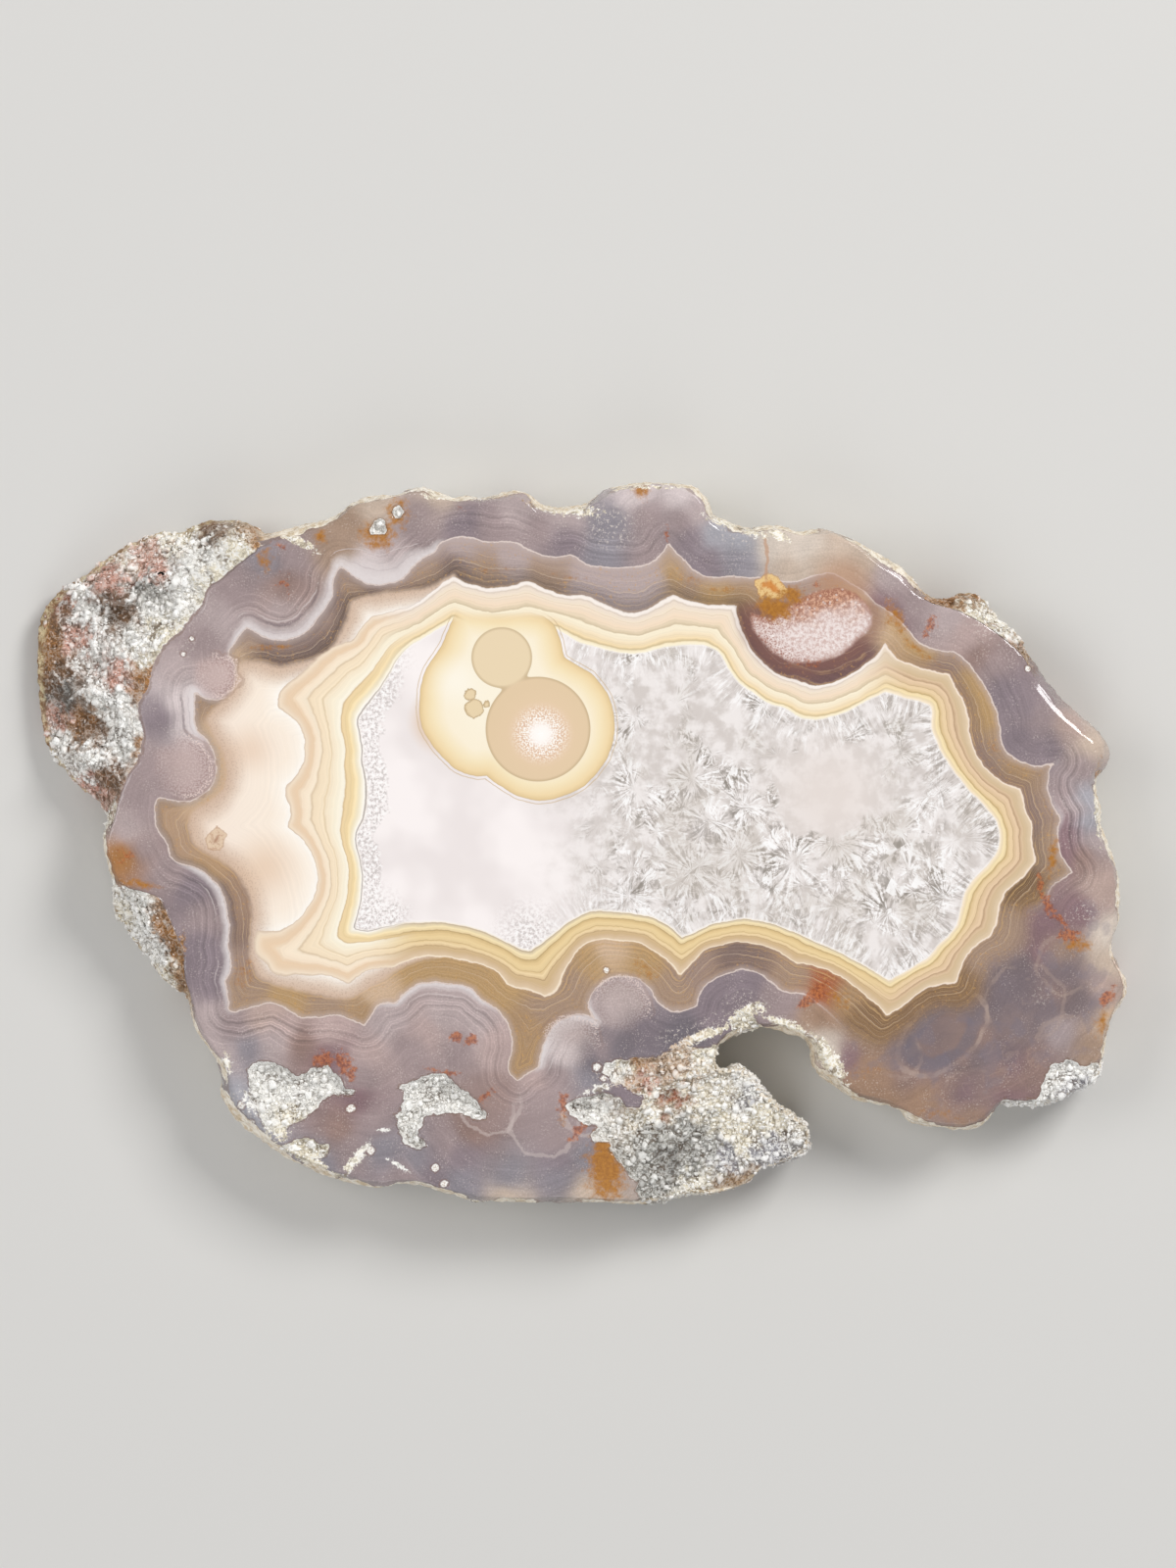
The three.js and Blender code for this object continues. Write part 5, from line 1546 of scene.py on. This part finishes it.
def cream_bands():
    """Cream, ochre and white bands with fine lines, different on each side of the quartz."""
    share = white_depth / (white_depth - calculate("MINIMUM", quartz_depth, -0.02))
    top = graded(share, [
        (0, (214, 202, 194)), (0.03, (250, 240, 231)), (0.08, (247, 236, 226)),
        (0.105, (222, 206, 190)), (0.15, (242, 226, 208)), (0.24, (243, 226, 203)),
        (0.25, (226, 206, 180)), (0.265, (245, 226, 203)), (0.4, (243, 220, 193)),
        (0.5, (230, 211, 181)), (0.55, (212, 193, 162)), (0.575, (251, 239, 212)),
        (0.66, (248, 234, 206)), (0.75, (247, 227, 193)), (0.86, (239, 215, 171)),
        (0.905, (214, 192, 150)), (0.93, (246, 231, 196)), (1, (250, 241, 218)),
    ])
    left = graded(share, [
        (0, (212, 190, 168)), (0.03, (240, 221, 197)), (0.1, (236, 209, 178)),
        (0.15, (237, 208, 175)), (0.2, (246, 226, 200)), (0.28, (250, 233, 208)),
        (0.305, (224, 201, 170)), (0.325, (244, 223, 192)), (0.44, (247, 228, 198)),
        (0.46, (228, 206, 172)), (0.48, (247, 229, 200)), (0.6, (250, 239, 215)),
        (0.68, (254, 246, 227)), (0.7, (214, 186, 142)), (0.72, (240, 214, 168)),
        (0.8, (241, 215, 165)), (0.86, (248, 229, 188)), (0.93, (250, 241, 219)),
        (0.965, (252, 246, 236)), (0.985, (160, 148, 140)), (1, (243, 234, 226)),
    ])
    right = graded(share, [
        (0, (230, 212, 198)), (0.03, (246, 228, 208)), (0.06, (226, 203, 172)),
        (0.2, (214, 189, 153)), (0.27, (212, 185, 148)), (0.31, (225, 196, 160)),
        (0.35, (210, 180, 146)), (0.39, (186, 154, 122)), (0.415, (230, 201, 166)),
        (0.48, (231, 201, 165)), (0.56, (219, 190, 150)), (0.575, (190, 160, 124)),
        (0.59, (234, 206, 164)), (0.66, (237, 209, 167)), (0.73, (224, 196, 149)),
        (0.775, (198, 170, 120)), (0.8, (240, 217, 170)), (0.87, (244, 223, 177)),
        (0.94, (242, 222, 190)), (1, (246, 232, 212)),
    ])
    bottom = graded(share, [
        (0, (232, 210, 186)), (0.015, (246, 229, 206)), (0.035, (240, 221, 195)),
        (0.055, (224, 199, 168)), (0.16, (216, 188, 151)), (0.24, (208, 179, 136)),
        (0.3, (214, 185, 141)), (0.315, (184, 152, 112)), (0.33, (224, 196, 151)),
        (0.4, (242, 216, 170)), (0.45, (226, 198, 148)), (0.465, (196, 166, 120)),
        (0.48, (232, 205, 155)), (0.57, (237, 210, 158)), (0.66, (230, 201, 148)),
        (0.73, (212, 184, 132)), (0.75, (182, 152, 106)), (0.77, (238, 214, 166)),
        (0.86, (243, 224, 180)), (0.91, (230, 212, 176)), (0.955, (188, 168, 140)),
        (0.975, (246, 234, 216)), (1, (248, 240, 228)),
    ])
    tone = mixed(smooth(Y, 88, 78), bottom, top)
    tone = mixed(smooth(X, 87, 93), tone, right)
    tone = mixed(smooth(X, 43, 37), tone, left)
    fine = streaks(share * 5, 3, 2, 3)
    return brightened(tone, 0.87 + fine * 0.26)


def needles(scale, turns, fineness):
    """Noise drawn out into fine needles that point away from scattered centres."""
    centre = cells(FLAT, scale, "Position")
    gap = Value(add_node("ShaderNodeVectorMath", FLAT, centre, operation="SUBTRACT").outputs[0])
    parts = add_node("ShaderNodeSeparateXYZ", gap).outputs
    across, up = Value(parts[0]), Value(parts[1])
    bend = stray(1.6)
    own = red_of(cells(FLAT, scale, "Color")) * 40
    angle = calculate("ARCTAN2", up, across) * turns
    away = calculate("SQRT", across * across + up * up) * fineness
    needle = noisy(vector_of(angle + bend + own, away + bend), 1, 3, 0.7)
    fan = smooth(noisy(vector_of(angle * (1.2 / turns) + own, THIRD * 3), 1, 1), 0.4, 0.6)
    return (needle - 0.5) * (0.45 + fan * 1.05) + 0.5


def quartz():
    """Milky at the left, grey and crystalline at the right, with needles along its edge."""
    milky = mixed(smooth(WIDE, 0.3, 0.7), (238, 229, 226), (251, 243, 240))
    grey = mixed(smooth(HALF, 0.35, 0.65), (214, 205, 199), (240, 233, 229))
    right = smooth(X + (THIRD - 0.5) * 9, 54, 63)
    tone = mixed(right, milky, grey)
    smoky = within(84.5, 81, 9, 0.9)
    tone = mixed(smoky * 0.85, tone, (232, 221, 214))
    shards = needles(0.15, 6, 0.45) * 0.55 + needles(0.36, 4, 0.7) * 0.45
    facets = red_of(cells(FLAT, 0.8, "Color"))
    hearts = within(71.8, 84.6, 5, 1) + within(90.6, 88.8, 6, 1) + within(76, 88, 5, 1) * 0.6
    shards = shards + (facets - 0.5) * (0.06 + hearts * 0.2)
    amount = THIRD_APART
    for x, y, reach, softness, strength in CRYSTAL_AREAS:
        amount += within(x, y, reach, softness) * strength
    crystalline = smooth(amount, 0.42, 0.66) * smooth(X, 57, 65)
    tone = mixed(crystalline * smooth(shards, 0.5, 0.36) * 0.75, tone, (158, 150, 143))
    tone = mixed(crystalline * smooth(shards, 0.51, 0.6) * 0.9, tone, (255, 253, 251))
    dark = crystalline * smooth(THIRD, 0.5, 0.66)
    tone = mixed(dark * smooth(shards, 0.54, 0.4) * 0.75, tone, (134, 126, 115))
    haze = smooth(WIDE_APART, 0.42, 0.62) * crystalline
    tone = mixed(haze * 0.45, tone, (206, 196, 185))
    comb = noisy(vector_of(attribute("quartz_along") * 2.3, quartz_depth * 0.4), 1, 4, 0.72)
    border = smooth(quartz_depth, 4.6, 1) * smooth(THIRD_APART, 0.3, 0.5) * smooth(X, 52, 60)
    teeth = border * smooth(comb, 0.5, 0.38) * (0.2 + smooth(X, 78, 96) * 0.45)
    tone = mixed(teeth, tone, (158, 148, 140))
    tone = mixed(border * smooth(comb, 0.52, 0.66) * 0.8, tone, (255, 252, 250))
    corner = within(37.5, 93.6, 5, 1) + within(54, 95.6, 5, 1)
    strip = smooth(quartz_depth + stray(2.4), 2.3, 1.6) * smooth(X, 43, 39)
    sugary = calculate("MINIMUM", corner + strip, 1)
    tone = mixed(sugary * smooth(SMALL, 0.52, 0.38) * 0.6, tone, (176, 168, 163))
    tone = mixed(sugary * smooth(SMALL, 0.52, 0.62), tone, (255, 253, 250))
    return mixed(line(quartz_depth, 0.06, 0.1) * 0.5, tone, (255, 248, 240))


def eyes(tone):
    """The pale halo and the round tan eyes in it."""
    halo_depth = attribute("halo_depth") + wobble * 0.5
    halo = graded(halo_depth / 6, [
        (0, (206, 178, 134)), (0.02, (230, 202, 152)), (0.09, (242, 217, 170)), (0.24, (247, 229, 190)),
        (0.45, (251, 239, 214)), (1, (252, 242, 220)),
    ])
    halo = mixed(within(46.5, 69.5, 3.5, 1) * 0.5, halo, (255, 251, 240))
    open_side = smooth(Y, 63.6, 62.2)
    tone = mixed(within(45.2, 73.6, 4, 0.6) * 0.8, tone, (224, 192, 160))
    tone = mixed(inside_edge(halo_depth) * (1 - open_side), tone, halo)
    tone = mixed(line(halo_depth, -0.3, 0.07) * 0.7 * (1 - open_side), tone, (206, 178, 138))
    small, large = (round_depth(*eye) for eye in EYES[:2])
    both = calculate("SMOOTH_MAX", small, large, 0.9)
    glow = round_depth(55.2, 74.9, 5)
    eye = graded(glow / 5, [
        (0, (228, 202, 166)), (0.3, (230, 203, 168)), (0.5, (235, 206, 176)), (0.68, (243, 220, 198)),
        (0.8, (255, 246, 238)), (1, (255, 254, 250)),
    ])
    ring = smooth(glow, 1.6, 3.4)
    eye = mixed(ring * smooth(TINY, 0.5, 0.6), eye, (255, 250, 243))
    eye = mixed(ring * smooth(glow, 4.4, 3) * smooth(TINY, 0.48, 0.38) * 0.6, eye, (206, 160, 132))
    eye = mixed(smooth(small - large, -0.6, 0.8), eye, (235, 214, 178))
    eye = mixed(smooth(both, 0.35, 0.02) * 0.6, eye, (190, 166, 128))
    tone = mixed(inside_edge(both), tone, eye)
    for blob in EYES[2:]:
        depth = round_depth(*blob) + (MIDDLE - 0.5) * 0.6
        inner = inside_edge(depth)
        fill = mixed(smooth(depth, 0, 0.25), (190, 164, 124), (233, 211, 172))
        tone = mixed(inner, tone, fill)
    return tone


def pink_pocket(tone):
    """The lens of fine pink quartz, rusty along its top and speckled red below."""
    depth = attribute("pocket_depth") + wobble
    around = smooth(depth, -2.2, -0.2) * smooth(Y, 60.5, 62)
    tone = mixed(around * 0.6, tone, (134, 92, 82))
    tone = mixed(within(86, 59.8, 4.2, 0.7) * 0.5, tone, (178, 122, 80))
    pink = mixed(smooth(SMALL, 0.3, 0.66), (210, 182, 174), (240, 227, 222))
    rusty = smooth(Y + stray(4) + (X - 82) * 0.12, 64.4, 61.2)
    pink = mixed(rusty * 0.85, pink, mixed(smooth(SMALL, 0.42, 0.64), (158, 96, 60), (216, 158, 120)))
    pink = mixed(smooth(depth, 0.8, 0) * 0.55, pink, (158, 104, 84))
    dots = smooth(TINY, 0.52, 0.64) * smooth(depth, 2.8, 0.4) * smooth(X, 86, 79)
    pink = mixed(dots * 0.75, pink, (150, 84, 64))
    pink = mixed(smooth(cells(FLAT, 1.3), 0.2, 0.1) * 0.35, pink, (255, 249, 244))
    return mixed(smooth(depth, -0.15, 0.25), tone, pink)


def pale_crystals(tone):
    """The two small pale crystals, amber at the top and brown at the left."""
    pale = attribute("crystal_depth") + (MIDDLE - 0.5) * 0.5
    left = smooth(X, 40, 30)
    face = mixed(left, (232, 196, 136), (226, 200, 172))
    face = mixed(smooth(SMALL, 0.5, 0.36) * 0.6, face, mixed(left, (186, 118, 50), (184, 140, 112)))
    centre = mixed(left, (206, 124, 44), (160, 110, 84))
    face = mixed(smooth(pale, 0.45, 0.85) * 0.8, face, centre)
    tone = mixed(line(pale, 0, 0.12) * 0.55, tone, (168, 120, 76))
    return mixed(inside_edge(pale, 0.16), tone, face)


def marked(tone):
    """Rust and amber stains, the rusty crack and the white crusts on the face."""
    ragged = MIDDLE - 0.5
    amber = smooth(attribute("amber") + ragged * 1.2, 0.25, 0.85)
    tone = mixed(amber * 0.92, tone, mixed(SMALL, (134, 76, 14), (206, 142, 50)))
    rust = smooth(attribute("rust") + ragged * 1.5, 0.45, 0.8)
    tone = mixed(rust * 0.75, tone, mixed(smooth(SMALL, 0.38, 0.6), (132, 66, 40), (192, 112, 62)))
    crack = line(X + stray(0.9), 78.2, 0.22) * smooth(Y, 60, 58.6) * smooth(Y, 54, 55)
    tone = mixed(crack * 0.6, tone, (190, 140, 104))
    speck = smooth(SMALL, 0.57, 0.66) * smooth(attribute("specks"), 0.25, 0.7)
    tone = mixed(speck * 0.7, tone, (226, 214, 204))
    grainy_white = mixed(smooth(TINY, 0.35, 0.55), (206, 188, 174), (252, 249, 243))
    for x, y, radius in WHITE_DOTS:
        depth = round_depth(x, y, radius) + ragged * 0.5
        tone = mixed(smooth(depth, -0.04, 0.1), tone, grainy_white)
        tone = mixed(line(depth, -0.08, 0.09) * 0.5, tone, (128, 98, 84))
    return tone


def crust():
    """The rough crust and skin: white foam, brown hollows with dark folds, painted shade between its
    knobs and painted highlights on their tops.
    """
    tone = attribute("rind_tone", "Color")
    height = attribute("relief")
    foam = attribute("foam")
    ground = brightened(tone, 0.35 + GRAIN * 1.1 + PATCHES * 0.3)
    # Painted shade: low in the knobs' relief, in the gaps between them, the crust turns dark brown;
    # this is partly its own brown and partly painted shade.
    gaps = smooth(height + (GRAIN - 0.5) * 2.2, 0, -0.75)
    ground = mixed(gaps * 0.75, ground, (98, 74, 50))
    # Painted highlight: high in the knobs' relief, on their tops, the crust turns white; this is partly
    # its white crust and partly a painted highlight.
    painted_crest_highlight = smooth(height + (GRAIN - 0.5) * 3, 0.45, 1)
    ground = mixed(painted_crest_highlight * (0.35 + foam * 0.35), ground, (255, 251, 244))
    folds = calculate("SINE", noisy(place_mm, 1.1, 2, 0.6) * 26)
    ground = mixed(smooth(folds, 0.3, 0.9) * (0.25 + foam * 0.55), ground, (255, 252, 246))
    ground = mixed(smooth(folds, -0.55, -0.97) * (0.65 - foam * 0.3), ground, (92, 70, 50))
    golden = mixed(smooth(GRAIN, 0.42, 0.6), (146, 104, 54), (240, 224, 180))
    ground = mixed(attribute("skin_edge") * 0.75, ground, golden)
    rim = attribute("on_rim")
    return mixed(rim * 0.9, ground, mixed(smooth(GRAIN, 0.36, 0.6), (214, 190, 154), (255, 246, 230)))


def stone_colours():
    """The whole stone's colour, and how much of it is crust."""
    firm_or_soft = smooth(grey_depth / (0.08 + SOFT_LOBE * 2.6), -0.5, 0.5)
    tone = mixed(firm_or_soft, grey_agate(), brown_bands())
    tone = mixed(smooth(peach_zone_depth, -0.5, 0.3), tone, peach_zone())
    tone = mixed(inside_edge(white_depth), tone, cream_bands())
    tone = marked(pale_crystals(pink_pocket(round_lobes(tone))))
    ragged = GRAIN - 0.5
    fringe = noisy(place_mm, 2.6, 3, 0.75) - 0.5
    thin = attribute("thin_crust") * 0.75 + fringe * 1.2
    thick = attribute("crust") + ragged * 1.1
    amount = calculate("MAXIMUM", smooth(thick, 0.42, 0.58), smooth(thin, 0.4, 0.55))
    # Painted shade: a thin dark brown line where the crust begins, along the edges of the hollows, the
    # skin and the rims.
    beside = line(thick, 0.3, 0.2) * smooth(attribute("crust"), 0.02, 0.15)
    tone = mixed(beside * 0.45, tone, (126, 98, 78))
    tone = mixed(amount, tone, crust())
    tone = mixed(inside_edge(quartz_depth), tone, quartz())
    return eyes(tone), amount


colour, crusty = stone_colours()
varnish = smooth(PATCHES, 0.46, 0.6)
polish = 0.07 + THIRD * 0.08
roughness = polish * (1 - crusty) + crusty * (0.6 - varnish * 0.38)
relief = attribute("crust") * (1 - attribute("on_rim") * 0.6)
relief *= noisy(place_mm, 1.7, 4, 0.72) * 0.42 + cells(place_mm, 1.6) * 0.14
smear = (1 - attribute("crust")) * noisy(FLAT, 0.7, 2) * 0.004
finished(colour, roughness, relief + smear)

# The beads have a simpler material of their own.
bead_material = new_material("agate_beads")
bead_place = Value(add_node("ShaderNodeTexCoord").outputs["Object"])
place_mm = Value(add_node("ShaderNodeVectorMath", bead_place, 1 / MM, operation="SCALE").outputs[0])
own = attribute("grain")
height = attribute("relief")
grit = noisy(place_mm, 1.6, 4, 0.7)
bead_folds = calculate("SINE", noisy(place_mm, 1.1, 2, 0.6) * 26)
whiteness = (0.25 + smooth(own, 0.2, 0.9) * 0.6) * (0.15 + attribute("foam") * 0.85)
bead_tone = mixed(whiteness, attribute("rind_tone", "Color"), (255, 253, 249))
bead_tone = mixed(smooth(bead_folds, -0.6, -0.98) * 0.3, bead_tone, (112, 92, 72))
# Painted shade: each bead is darker low down, where it meets the crust.
bead_tone = mixed(smooth(height + (grit - 0.5) * 1.2, 0.15, -0.5) * 0.45, bead_tone, (122, 100, 76))
# Painted highlight: each bead is whitened on its top.
bead_tone = mixed(smooth(height + (grit - 0.5) * 1.6, 0.55, 1) * 0.5, bead_tone, (255, 253, 248))
bead_tone = brightened(bead_tone, 0.62 + grit * 0.86)
finished(bead_tone, 0.5 - smooth(own, 0.4, 0.9) * 0.25, grit * 0.16)


def add_mesh(name, points, triangles, material):
    """A smoothly shaded mesh of the stone, made of points in mm."""
    mesh = bpy.data.meshes.new(name)
    mesh.from_pydata((points * MM).tolist(), [], [list(map(int, corners)) for corners in triangles])
    mesh.polygons.foreach_set("use_smooth", [True] * len(triangles))
    mesh.materials.append(material)
    piece = bpy.data.objects.new(name, mesh)
    bpy.context.scene.collection.objects.link(piece)
    return piece


def keep(name, values, piece=None):
    """Keeps one number, or one colour, for each point of a piece, or else of the stone."""
    attributes = (piece or stone).data.attributes
    if values.ndim == 1:
        attributes.new(name, "FLOAT", "POINT").data.foreach_set("value", values)
        return
    rgba = np.column_stack([values, np.ones(len(values))])
    attributes.new(name, "FLOAT_COLOR", "POINT").data.foreach_set("color", rgba.ravel())


def crust_tones(points):
    """The tones of the crust, in patches with ragged edges, and how far they are a white foam."""
    tones = blended(frayed(points, *CRUST_FRAY), RIND_PLACES, RIND_SOFTNESS)
    return tones, rising(tones[:, 2], *FOAM_BLUE)


points, triangles, down, hollow, slope, relief_values = stone_shape()
stone = add_mesh("agate_surface", points, triangles, agate)
sheet_x, sheet_y = SHEET_CENTRE[0] + points[:, 0], SHEET_CENTRE[1] - points[:, 1]
keep("sheet_x", sheet_x)
keep("sheet_y", sheet_y)
sheet_places = np.column_stack([sheet_x, sheet_y, 0 * sheet_x]).ravel()
sheet = stone.data.attributes.new("sheet", "FLOAT_VECTOR", "POINT")
sheet.data.foreach_set("vector", sheet_places)
keep("grey_depth", inside(points, contour(GREY_EDGE))[0])
keep("white_depth", inside(points, contour(WHITE_LINE))[0])
keep("peach_depth", inside(points, contour(PEACH_ZONE))[0])
quartz_depths, quartz_places = inside(points, contour(QUARTZ_EDGE))
keep("quartz_depth", quartz_depths)
keep("quartz_along", quartz_places)
keep("halo_depth", inside(points, contour(HALO))[0])
keep("pocket_depth", inside(points, contour(PINK_POCKET))[0])
crystal_depths = [inside(points, on_frame(outline))[0] for outline in PALE_CRYSTALS]
keep("crystal_depth", np.max(crystal_depths, axis=0))
ragged_places = frayed(points, *BAND_FRAY)
keep("outer_tone", blended(ragged_places, OUTER_PLACES))
keep("brown_tone", blended(ragged_places, BROWN_PLACES))
rind_tone, foam = crust_tones(points)
keep("rind_tone", rind_tone)
keep("foam", foam)
keep("relief", relief_values)
for name, stains in STAINS.items():
    keep(name, stained(points, stains))
# The hollows, the skin and the thin rims have a crust, and the back and the bevel have none.
in_hollow = rising(hollow, *HOLLOW_CRUST)
on_skin = slope * rising(down, *SKIN_CRUST)
uneven, cycles = RIM_RAGGEDNESS
on_rim = rising(down * (1 + uneven * rough(points, cycles, 2)), *RIM_CRUST)
on_rim *= 1 - (1 - rising(off_bevel(points), *POLISH_ENDS)) * (1 - rising(down, 0.9, 1.1))
crusted = np.max([in_hollow, on_skin, on_rim], axis=0) * (points[:, 2] > 0.02)
crusted = np.clip(crusted, 0, 1)
keep("crust", crusted)
keep("on_rim", on_rim * (1 - slope) * (1 - rising(down, 1, 1.4)))
skin_edge = slope * rising(down, 0.86, 0.94) * (1 - rising(down, 1.05, 1.3))
keep("skin_edge", skin_edge)

# Grains lie on the crust where it is a white foam, and few where it is dark, brown or red.
grainy = crusted * between(DARK_GRAINS, 1, foam) * (1 - rising(down, 1, 1.25))
grainy *= rising(points[:, 2], *GRAIN_LOWEST)
on_slope = slope * rising(down, *GRAINS_ON_SKIN)
grainy *= np.maximum(rising(hollow, *GRAINS_IN_HOLLOW), on_slope)
thinning, ending = (THICKNESS - below for below in GRAIN_HIGHEST)
grainy *= (1 - rising(points[:, 2], thinning, ending)) * (1 - 0.8 * skin_edge)
draw = np.random.default_rng(DRAW_SEED)
pieces = [stone]
for name, (gap, smallest, largest, rounds) in GRAIN_KINDS.items():
    places, ups = crust_places(points, np.array(triangles), grainy, gap, draw)
    sizes = between(smallest, largest, draw.random(len(places)) ** SMALL_GRAINS)
    owns = between(LEAST_OWN, 1, draw.random(len(places)))
    if name == "agate_knobs":
        curl_places, curl_ups, curl_sizes = curl_beads(points)
        places, ups = np.vstack([places, curl_places]), np.vstack([ups, curl_ups])
        sizes = np.append(sizes, curl_sizes)
        owns = np.append(owns, np.ones(len(curl_sizes)))
    bead_points, bead_triangles, heights, bead_owns = beads(places, ups, sizes, owns, rounds, draw)
    piece = add_mesh(name, bead_points, bead_triangles, bead_material)
    keep("relief", heights, piece)
    keep("grain", bead_owns, piece)
    bead_tones, bead_foam = crust_tones(bead_points)
    keep("rind_tone", bead_tones, piece)
    keep("foam", bead_foam, piece)
    pieces.append(piece)

for piece in pieces:
    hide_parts(NODE)
    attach(piece, "root")

# The pale floor that the stone lies on.
floor_material = bpy.data.materials.new("floor")
floor_material.use_nodes = True
floor_finish = floor_material.node_tree.nodes["Principled BSDF"]
FLOOR_COLOUR = (214, 212, 208)
FLOOR_ROUGHNESS = 0.9
FLOOR_HALF = 1.5  # half its width, in metres
floor_finish.inputs["Base Color"].default_value = shade(FLOOR_COLOUR)
floor_finish.inputs["Roughness"].default_value = FLOOR_ROUGHNESS
floor_corners = [(-1, -1), (1, -1), (1, 1), (-1, 1)]
floor_mesh = bpy.data.meshes.new("floor")
floor_mesh.from_pydata(
    [(x * FLOOR_HALF, y * FLOOR_HALF, 0) for x, y in floor_corners], [], [(0, 1, 2, 3)]
)
floor_mesh.materials.append(floor_material)
floor = bpy.data.objects.new("floor", floor_mesh)
bpy.context.scene.collection.objects.link(floor)


def area_light(name, place, size, power):
    """A soft square light that faces the stone. Place in metres, power in watts."""
    light = bpy.data.lights.new(name, "AREA")
    light.size = size
    light.energy = power
    lamp = bpy.data.objects.new(name, light)
    bpy.context.scene.collection.objects.link(lamp)
    lamp.location = place
    lamp.rotation_euler = (-Vector(place)).to_track_quat("-Z", "Y").to_euler()


area_light("key", (0.49, 0.482, 0.61), 0.33, 5.2)
area_light("fill", (-0.6, 0.15, 0.6), 0.5, 2.3)
area_light("front", (0.05, -0.7, 0.55), 0.5, 1.4)
SURROUNDINGS_COLOUR = (236, 238, 242)
SURROUNDINGS_STRENGTH = 0.4
world = bpy.data.worlds.new("studio")
world.use_nodes = True
background = world.node_tree.nodes["Background"]
background.inputs["Color"].default_value = shade(SURROUNDINGS_COLOUR)
background.inputs["Strength"].default_value = SURROUNDINGS_STRENGTH
bpy.context.scene.world = world
bpy.context.scene.view_settings.view_transform = "Standard"

# The camera looks straight down, with the top of the picture towards +Y. Sizes are in mm, and the
# picture's are those at the height of the polished face.
LENS = 150
SENSOR = 36
PICTURE_HEIGHT = 160
PICTURE_CENTRE = (0.75, 6.06)
camera_data = bpy.data.cameras.new("camera")
camera_data.lens = LENS
camera_data.sensor_width = SENSOR
camera_data.sensor_fit = "AUTO"
camera = bpy.data.objects.new("camera", camera_data)
distance = LENS * PICTURE_HEIGHT / SENSOR
camera.location = (PICTURE_CENTRE[0] * MM, PICTURE_CENTRE[1] * MM, (THICKNESS + distance) * MM)
bpy.context.scene.collection.objects.link(camera)
bpy.context.scene.camera = camera
